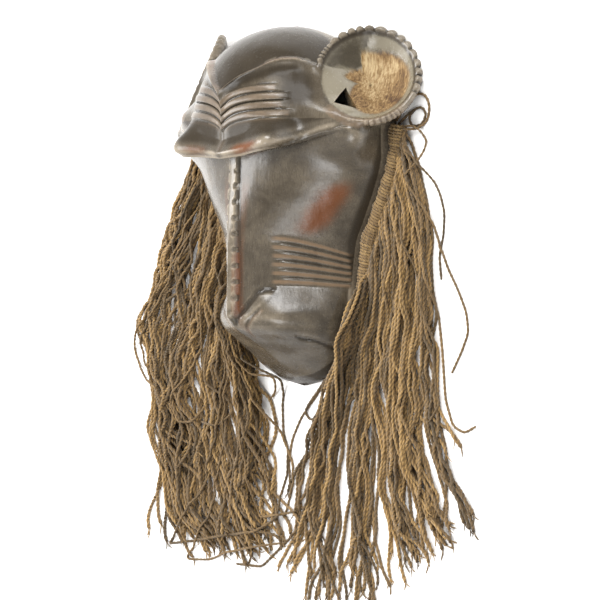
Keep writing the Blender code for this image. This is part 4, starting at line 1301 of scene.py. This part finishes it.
def cords_object(name: str, strands: list[Strand], origin: Vector) -> bpy.types.Object:
    """Sweep the section of a cord along every strand and join them in one mesh.

    Args:
        name: Name of the new object.
        strands: The cords, all of them plied or all of them round.
        origin: Where the drawing's origin lies in the frame.

    Returns:
        The new object, with its "fibre" and "tint" attributes filled in.
    """
    section = profile_object(strands[0].ply)
    ring = len(section.data.splines[0].points)
    curve = bpy.data.curves.new(name, "CURVE")
    curve.dimensions = "3D"
    curve.twist_mode = "MINIMUM"
    curve.bevel_mode = "OBJECT"
    curve.bevel_object = section
    fibre, tone = [], []
    for number, strand in enumerate(strands):
        line = strand.line * MM + np.array(origin)
        along = np.concatenate([[0.0], np.cumsum(np.linalg.norm(np.diff(strand.line, axis=0), axis=1))])
        left = along[-1] - along
        spline = curve.splines.new("POLY")
        spline.points.add(len(line) - 1)
        spline.points.foreach_set("co", np.column_stack([line, np.ones(len(line))]).ravel())
        thickness = strand.radius * (1.0 - 0.35 * np.exp(-left / 1.2) + strand.frayed * np.exp(-(left / 5.0) ** 2))
        spline.points.foreach_set("radius", thickness)
        spline.points.foreach_set("tilt", 2.0 * math.pi * along / strand.twist)
        around = np.arange(ring) * (6.0 / ring)
        rows = np.stack(np.broadcast_arrays(around[None, :], along[:, None], 17.0 * number + strand.tint), axis=-1)
        fibre.append(rows.reshape(-1, 3))
        # Painted shade along the groove between the two plies, stored with the tone in the tint attribute.
        groove = np.zeros((len(line), ring))
        if strand.ply:
            groove[:, [0, 3, 4, 7]] = 0.5
        tone.append(np.column_stack([np.full(len(line) * ring, strand.tint), groove.ravel()]))
    swept = place_object(name + "_sweep", curve)
    mesh = evaluated_copy(swept, name)
    places = vertex_places(mesh)
    places[:, 2] = np.maximum(places[:, 2], 0.04 * MM)
    mesh.vertices.foreach_set("co", places.ravel())
    remove_object(swept)
    remove_object(section)
    close_ends(mesh)
    tone_rows = np.vstack(tone)
    attribute = mesh.attributes.new("fibre", "FLOAT_VECTOR", "POINT")
    attribute.data.foreach_set("vector", np.vstack(fibre).ravel())
    paint(mesh, "tint", [tone_rows[:, 0], tone_rows[:, 1]])
    mesh.shade_smooth()
    mesh.set_sharp_from_angle(angle=math.radians(85.0))
    mesh.materials.clear()
    return place_object(name, mesh)


@dataclass
class Pile:
    """Height of what already lies on the floor, so that each cord lies on the cords under it."""

    low: tuple[float, float] = (-215.0, -330.0)
    high: tuple[float, float] = (215.0, 150.0)
    cell: float = 0.7
    steepest: float = 0.38
    smoothing: int = 4
    root_reach: tuple[float, float] = (1.0, 16.0)

    def __post_init__(self) -> None:
        """Start with a bare floor."""
        size = [int((high - low) / self.cell) + 1 for low, high in zip(self.low, self.high)]
        self.heights = np.zeros(size)

    def lay(self, line: np.ndarray, radius: float, root: float) -> np.ndarray:
        """Lay a cord down along a line and add it to the pile.

        Args:
            line: Places along the cord on the floor, in drawn millimetres.
            radius: How much room the cord takes up, as a half thickness.
            root: Height at which it leaves its roll.

        Returns:
            The height of the cord's middle at each place.
        """
        reach = int(math.ceil(radius / self.cell))
        steps = np.arange(-reach, reach + 1)
        off_x, off_y = (part.ravel() for part in np.meshgrid(steps, steps, indexing="ij"))
        apart = np.hypot(off_x, off_y) * self.cell
        inside = apart <= radius
        off_x, off_y, apart = off_x[inside], off_y[inside], apart[inside]
        dome = np.sqrt(radius ** 2 - apart ** 2)
        cell_x = np.clip(((line[:, 0] - self.low[0]) / self.cell).astype(int)[:, None] + off_x, 0,
                         self.heights.shape[0] - 1)
        cell_y = np.clip(((line[:, 1] - self.low[1]) / self.cell).astype(int)[:, None] + off_y, 0,
                         self.heights.shape[1] - 1)
        height = np.maximum((self.heights[cell_x, cell_y] + dome).max(axis=1), radius)
        step = np.linalg.norm(np.diff(line[:, :2], axis=0), axis=1) * self.steepest
        for index in range(1, len(height)):
            height[index] = max(height[index], height[index - 1] - step[index - 1])
        for index in range(len(height) - 2, -1, -1):
            height[index] = max(height[index], height[index + 1] - step[index])
        kernel = np.hanning(2 * self.smoothing + 1)
        kernel /= kernel.sum()
        padded = np.pad(height, self.smoothing, mode="edge")
        height = np.maximum(np.convolve(padded, kernel, mode="valid"), radius)
        along = np.concatenate([[0.0], np.cumsum(step / self.steepest)])
        leave = 1.0 - smooth_step(*self.root_reach, along)
        height = height + (max(root, radius) - height) * leave
        np.maximum.at(self.heights, (cell_x, cell_y), height[:, None] + dome)
        return height


@dataclass(frozen=True)
class Clump:
    """A few neighbouring cords that hang together and part again at their tips."""

    centre: float
    drift: float
    gather: float
    wave: float
    swings: float
    phase: float

    @classmethod
    def grow(cls, centre: float, crossing: float, rng: np.random.Generator) -> Clump:
        """Draw a clump's ways at random."""
        return cls(centre, rng.normal(0.0, crossing), rng.uniform(0.03, 0.2), rng.uniform(70.0, 130.0),
                   rng.uniform(0.6, 1.3), rng.random())


@dataclass
class Fringe:
    """The fan of two-ply cords that spreads from one roll."""

    side: Side
    outer: Line
    inner: Line
    reach: float
    longest: float
    crossing: float
    kink: float
    sway: float
    curl: float
    count: int = 108
    locks: int = 9
    clumps: int = 21
    radius: float = 1.5
    laid_share: float = 0.72
    points: int = 168
    seed: int = 7
    strays: tuple[tuple[float, Line], ...] = ()

    def edge(self, points: Line, share: np.ndarray) -> np.ndarray:
        """A smooth line through the points of the fan's edge."""
        table = np.array(points)
        along = np.concatenate([[0.0], np.cumsum(np.linalg.norm(np.diff(table, axis=0), axis=1))])
        at = np.clip(share, 0.0, 1.0) * along[-1]
        line = np.stack([curve_through(along, table[:, axis], at) for axis in (0, 1)], axis=-1)
        past = np.maximum(share - 1.0, 0.0)[..., None] * along[-1]
        last = table[-1] - table[-2]
        return line + past * last / np.linalg.norm(last)

    def place(self, across: np.ndarray, along: np.ndarray, roll: CordRoll) -> np.ndarray:
        """Place in the fringe: across runs from its outer to its inner edge, along from root to tip."""
        outer, inner = self.edge(self.outer, along), self.edge(self.inner, along)
        place = outer + (inner - outer) * across[..., None]
        place[..., 1] -= self.reach * np.sin(math.pi * np.clip(across, 0.0, 1.0) ** self.longest) * along ** 2
        roots = roll.middle(np.linspace(roll.top, roll.foot, 40))
        root_x = np.interp(across, np.linspace(0.0, 1.0, len(roots)), roots[:, 0])
        clear = root_x + self.side.mirror * (0.5 * roll.diameter - 1.0)
        pull = clear - (self.outer[0][0] + (self.inner[0][0] - self.outer[0][0]) * across)
        place[..., 0] += pull * np.clip(1.0 - along / 0.2, 0.0, 1.0) ** 2
        return place

    def keep_clear(self, line: np.ndarray) -> np.ndarray:
        """Keep a cord out of the wood beside it."""
        beside = (line[:, 1] > CHIN - 2.0) & (line[:, 1] < 60.0)
        rim = face_section(np.clip(line[:, 1], CHIN, 60.0))[0] + 2.4
        own_side = self.side.mirror * line[:, 0]
        pushed = np.where(beside, np.maximum(own_side, rim), own_side)
        line[:, 0] = self.side.mirror * pushed
        return line

    def wandering_line(self, across: float, clump: Clump, rng: np.random.Generator, roll: CordRoll) -> np.ndarray:
        """One cord's way from the roll to its tip, with its clump's waves and its own.

        Args:
            across: Its place along the roll, from 0 at the outer end of the fan to 1 at its inner end.
            clump: The cords that it hangs with.
            rng: The fan's random numbers.
            roll: The roll that it is tied to.

        Returns:
            Its places on the floor, in drawn millimetres.
        """
        length = 1.0 - 0.10 * rng.random() ** 1.5 - 0.16 * (rng.random() < 0.18) + 0.03 * rng.random()
        share = np.linspace(0.0, 1.0, self.points)
        along = share * length
        gather = 1.0 - clump.gather * np.sin(math.pi * smooth_step(0.02, 1.1, share))
        drift = clump.drift + rng.normal(0.0, 0.35 * self.crossing)
        swing = 0.5 * self.crossing * np.sin(2.0 * math.pi * (clump.swings * share + clump.phase))
        lane = clump.centre + (across - clump.centre) * gather
        lane = lane + drift * smooth_step(0.05, 1.0, share) + swing * share
        lane = np.where(lane < 0.0, 0.3 * lane, np.where(lane > 1.0, 1.0 + 0.3 * (lane - 1.0), lane))
        line = self.place(lane, along, roll)
        step = np.gradient(line, axis=0)
        size = np.maximum(np.linalg.norm(step, axis=1), 1e-6)
        normal = np.column_stack([-step[:, 1], step[:, 0]]) / size[:, None]
        far = np.cumsum(size)
        wave = self.sway * (1.0 + 3.5 * share) * np.sin(2.0 * math.pi * (far / clump.wave + 2.0 * clump.phase))
        wave += (0.6 + 1.6 * share) * np.sin(2.0 * math.pi * (far / rng.uniform(50.0, 90.0) + rng.random()))
        wave += (0.25 + 0.45 * share) * np.sin(2.0 * math.pi * (far / rng.uniform(22.0, 38.0) + rng.random()))
        loose = self.kink * float(smooth_step(0.95, 0.1, across)) * window(0.18, 0.8, 0.14, share)
        wave += loose * np.sin(2.0 * math.pi * (far / rng.uniform(40.0, 70.0) + rng.random()))
        curl = rng.normal(self.curl, 10.0) * smooth_step(0.78, 1.0, share) ** 2
        return self.keep_clear(line + normal * ((wave + curl) * smooth_step(0.0, 0.12, share))[:, None])

    @staticmethod
    def resample(points: Line, step: float) -> np.ndarray:
        """An even, smooth line through a few given points."""
        table = np.array(points, float)
        along = np.concatenate([[0.0], np.cumsum(np.linalg.norm(np.diff(table, axis=0), axis=1))])
        at = np.linspace(0.0, along[-1], max(int(along[-1] / step), 12))
        line = np.column_stack([np.interp(at, along, table[:, axis]) for axis in (0, 1)])
        width = max(int(5.0 / step), 3) * 2 + 1
        kernel = np.hanning(width + 2)[1:-1]
        kernel /= kernel.sum()
        half = width // 2
        for _ in range(2):
            start, end = line[0] * 2.0 - line[half:0:-1], line[-1] * 2.0 - line[-2:-half - 2:-1]
            padded = np.vstack([start, line, end])
            line = np.column_stack([np.convolve(padded[:, axis], kernel, mode="valid") for axis in (0, 1)])
        return line

    def build(self, roll: CordRoll, pile: Pile, origin: Vector, finish: bpy.types.Material) -> list[bpy.types.Object]:
        """Lay every cord of the fan and group them as the locks of the solids.

        Args:
            roll: The roll that the cords are tied to.
            pile: What already lies on the floor.
            origin: Where the drawing's origin lies in the frame.
            finish: The cord's material.

        Returns:
            The finished locks.
        """
        rng = np.random.default_rng(self.seed)
        roots = (np.arange(self.count) + rng.uniform(0.1, 0.9, self.count)) / self.count
        order = rng.permutation(self.count)
        clumps = [Clump.grow((number + rng.uniform(0.3, 0.7)) / self.clumps, self.crossing, rng)
                  for number in range(self.clumps)]
        groups: list[list[Strand]] = [[] for _ in range(self.locks)]
        for index in order:
            across = float(roots[index])
            clump = clumps[min(int(across * self.clumps), self.clumps - 1)]
            line = self.wandering_line(across, clump, rng, roll)
            radius = self.radius * rng.uniform(0.88, 1.08)
            height = pile.lay(line, self.laid_share * radius, rng.uniform(3.0, 7.5))
            lock = min(int(across * self.locks), self.locks - 1)
            cord = Strand(np.column_stack([line, height]), radius, rng.random(), twist=rng.uniform(7.2, 9.0),
                          frayed=rng.uniform(0.0, 0.4))
            groups[lock] += [cord, *cord.frayed_tip(rng)]
        for across, points in self.strays:
            line = self.resample(points, 1.1)
            radius = self.radius * rng.uniform(0.68, 0.8)
            height = pile.lay(line, self.laid_share * radius, rng.uniform(3.0, 5.0))
            lock = min(int(across * self.locks), self.locks - 1)
            groups[lock].append(Strand(np.column_stack([line, height]), radius, 0.6 * rng.random()))
        locks = []
        for number, strands in enumerate(groups, start=1):
            item = cords_object(f"fringe_cords_{self.side.value}_{number}", strands, origin)
            item.data.materials.append(finish)
            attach(item, "root")
            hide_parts(f"fringe_lock_{self.side.value}_{number}")
            locks.append(item)
        return locks


@dataclass(frozen=True)
class SoftBox:
    """A soft box over the table: where it hangs from its target, its size in metres and its power in watts."""

    name: str
    place: tuple[float, float, float]
    size: tuple[float, float]
    power: float

    def hang(self, target: Vector) -> None:
        """Hang the soft box so that it points at its target."""
        data = bpy.data.lights.new(self.name, "AREA")
        data.shape = "RECTANGLE"
        data.size, data.size_y = self.size
        data.energy = self.power
        lamp = place_object(self.name, data)
        way = Vector(self.place)
        lamp.location = target + way
        lamp.rotation_euler = way.to_track_quat("Z", "Y").to_euler()


@dataclass
class Studio:
    """The table, the soft light and the camera."""

    floor_size: float = 6.0
    lens: float = 400.0
    sensor: float = 36.0
    frame_width: float = 0.45
    azimuth: float = math.radians(45.0)
    aim: tuple[float, float, float] = (-0.0045, -0.072, 0.03)
    light_height: float = 0.05
    soft_boxes: tuple[SoftBox, ...] = (SoftBox("left_soft_box", (-0.69, 0.12, 1.32), (0.8, 1.1), 28.0),
                                       SoftBox("crown_soft_box", (0.64, 1.07, 0.92), (1.25, 0.46), 27.0),
                                       SoftBox("near_soft_box", (0.66, -0.94, 0.96), (0.5, 0.5), 7.0))

    def axes(self) -> tuple[Vector, Vector, Vector]:
        """The picture's right, up and the way back to the camera."""
        back = Vector((math.sin(self.azimuth), 0.0, math.cos(self.azimuth)))
        up = Vector((0.0, 1.0, 0.0))
        return up.cross(back), up, back

    def camera(self, origin: Vector) -> bpy.types.Object:
        """Stand the camera where the photograph was taken from, far off with a long lens."""
        right, up, back = self.axes()
        data = bpy.data.cameras.new("camera")
        data.lens = self.lens
        data.sensor_width = self.sensor
        data.clip_end = 50.0
        camera = place_object("camera", data)
        aside, above, out = self.aim
        target = origin + right * aside + up * above + back * out
        distance = self.frame_width * self.lens / self.sensor
        turn = Matrix((right, up, back)).transposed().to_4x4()
        camera.matrix_world = Matrix.Translation(target + back * distance) @ turn
        bpy.context.scene.camera = camera
        return camera

    def build(self, origin: Vector) -> None:
        """Lay the table and hang the lights."""
        body = bmesh.new()
        bmesh.ops.create_grid(body, x_segments=1, y_segments=1, size=0.5 * self.floor_size)
        mesh = bpy.data.meshes.new("table_top")
        body.to_mesh(mesh)
        body.free()
        table = place_object("table_top", mesh)
        mesh.materials.append(PaleFloor().material())
        for soft_box in self.soft_boxes:
            soft_box.hang(origin + Vector((0.0, 0.0, self.light_height)))
        self.surroundings()
        bpy.context.scene.view_settings.view_transform = "Standard"

    @staticmethod
    def surroundings() -> None:
        """A white room that is brightest on the left, where its window is."""
        world = bpy.data.worlds.new("studio")
        bpy.context.scene.world = world
        world.use_nodes = True
        tree = world.node_tree
        background = tree.nodes["Background"]
        background.inputs["Color"].default_value = linear("#ffffff")
        way = add_node(tree, "ShaderNodeTexCoord").outputs["Generated"]
        leftward = add_node(tree, "ShaderNodeVectorMath", {"operation": "DOT_PRODUCT"},
                            {0: way, 1: (-0.96, -0.24, 0.12)}).outputs["Value"]
        strength = add_node(tree, "ShaderNodeMapRange", {"interpolation_type": "SMOOTHSTEP"},
                            {"Value": leftward, "From Min": 0.05, "From Max": 0.95, "To Min": 0.4, "To Max": 1.7})
        tree.links.new(strength.outputs[0], background.inputs["Strength"])


# The drawing's origin in the photograph, and how many millimetres of the floor one of its pixels covers.
MIDDLE_PX = (306.0, 204.0)
MM_PER_PX = (1.061, 0.75)


def px(*points: tuple[float, float]) -> Line:
    """Turn places in the photograph into places on the floor, in drawn millimetres."""
    return tuple(((x - MIDDLE_PX[0]) * MM_PER_PX[0], (MIDDLE_PX[1] - y) * MM_PER_PX[1]) for x, y in points)


RIGHT_STRAYS: tuple[tuple[float, Line], ...] = (
    (0.02, px((400, 122), (409, 104), (417, 95), (425, 97), (429, 108), (427, 122), (419, 131), (409, 131))),
    (0.03, px((401, 126), (411, 113), (421, 108), (426, 116), (421, 127), (411, 128), (408, 118), (416, 110))),
    (0.04, px((402, 130), (413, 127), (421, 130), (426, 143), (426, 153), (421, 165), (414, 176))),
    (0.06, px((404, 140), (418, 158), (430, 176), (439, 196), (443, 214), (442, 236), (438, 256), (440, 280))),
    (0.05, px((408, 170), (426, 205), (437, 240), (446, 268), (456, 290), (464, 312), (466, 332), (459, 352),
              (450, 372))),
    (0.07, px((410, 180), (428, 240), (436, 300), (441, 350), (444, 398), (451, 424), (462, 431), (473, 424))),
    (0.12, px((402, 200), (424, 280), (436, 340), (438, 392), (441, 402), (433, 420))),
    (0.97, px((345, 346), (330, 375), (316, 398), (302, 418), (293, 440), (289, 466), (293, 490), (286, 516))),
    (0.98, px((338, 357), (325, 384), (312, 402), (306, 414), (312, 422), (320, 414))),
    (0.90, px((355, 320), (340, 380), (326, 450), (318, 500), (300, 530), (286, 545), (262, 570), (236, 568))),
)
LEFT_STRAYS: tuple[tuple[float, Line], ...] = (
    (0.02, px((206, 160), (203, 172), (196, 190), (192, 205), (190, 222), (193, 240), (188, 262))),
    (0.03, px((212, 168), (204, 184), (196, 204), (192, 220), (190, 240), (186, 255))),
    (0.05, px((209, 170), (196, 205), (184, 228), (178, 245), (181, 262), (186, 275))),
    (0.10, px((208, 190), (190, 230), (170, 275), (155, 305), (143, 325), (134, 338), (130, 352), (136, 368),
              (150, 382), (166, 390))),
    (0.15, px((211, 200), (192, 240), (172, 285), (158, 310), (147, 330), (141, 345), (144, 360), (158, 378))),
    (0.55, px((222, 260), (214, 310), (204, 350), (190, 385), (178, 405), (186, 425), (200, 424), (208, 408))),
    (0.60, px((224, 250), (228, 300), (212, 350), (216, 385), (232, 400), (236, 415), (224, 428), (205, 424))),
    (0.96, px((244, 346), (262, 375), (280, 377), (279, 389), (272, 400))),
    (0.97, px((246, 350), (270, 370), (286, 380), (283, 405), (284, 434), (289, 452), (289, 472), (282, 495),
              (280, 521))),
    (0.93, px((240, 335), (258, 380), (266, 405), (280, 427), (291, 454), (296, 478), (291, 500))),
    (0.80, px((236, 310), (255, 420), (258, 480), (262, 520), (286, 516), (300, 512))),
    (0.70, px((232, 300), (226, 420), (205, 500), (166, 550), (200, 545), (230, 539), (264, 534), (285, 516))),
    (0.72, px((233, 300), (228, 440), (214, 520), (184, 565), (208, 565), (230, 556), (284, 545))),
)


def main() -> None:
    """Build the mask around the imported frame, and report each piece."""
    logging.basicConfig(level=logging.INFO, format="%(message)s")
    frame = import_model()
    crown = next(mount for mount in frame["record"]["mounts"] if mount["name"] == "rim_crown")
    origin = Vector(crown["pos_m"]) - Vector((0.0, RIM_CROWN * MM, 0.0))

    studio = Studio()
    studio.camera(origin)
    studio.build(origin)

    carving = Carving().build(origin)
    LOG.info("%s: %d faces", carving.name, len(carving.data.polygons))

    golden = PlantFibre("wound_golden_fibre", "#352a18", "#604a2c", "#896f46").material()
    olive = PlantFibre("laid_olive_fibre", "#43351f", "#735a36", "#9c7c4a").material()
    pile = Pile()
    fans = (
        Fringe(Side.RIGHT,
               outer=((105.0, 58.0), (127.0, 3.0), (133.5, -34.5), (135.5, -72.0), (136.5, -109.5),
                      (139.0, -147.0), (147.0, -184.5), (161.0, -218.0), (173.0, -240.0)),
               inner=((69.0, -77.0), (64.5, -93.0), (57.5, -110.0), (43.0, -128.0), (25.0, -149.0), (4.0, -185.0),
                      (-8.0, -222.0), (-25.0, -263.0)),
               reach=44.0, longest=1.6, crossing=0.06, kink=1.2, sway=0.45, curl=3.0, seed=11,
               strays=RIGHT_STRAYS),
        Fringe(Side.LEFT,
               outer=((-103.0, 56.0), (-121.0, 25.0), (-136.0, 0.0), (-152.0, -34.0), (-168.0, -68.0),
                      (-174.0, -92.0), (-168.0, -122.0), (-163.0, -162.0), (-157.0, -199.0), (-145.0, -236.0),
                      (-134.0, -256.0)),
               inner=((-69.0, -77.0), (-64.5, -93.0), (-57.5, -110.0), (-47.0, -126.0), (-38.0, -149.0),
                      (-37.0, -185.0), (-34.0, -222.0), (-30.0, -250.0)),
               reach=14.0, longest=1.4, crossing=0.14, kink=4.2, sway=1.2, curl=7.0, seed=5,
               strays=LEFT_STRAYS),
    )
    for fan in fans:
        roll = CordRoll(fan.side)
        wound = roll.build(origin, golden)
        LOG.info("%s: %d faces", wound.name, len(wound.data.polygons))
        for lock in fan.build(roll, pile, origin, olive):
            LOG.info("%s: %d faces", lock.name, len(lock.data.polygons))

    bpy.context.view_layer.update()


if __name__ == "__main__":
    main()
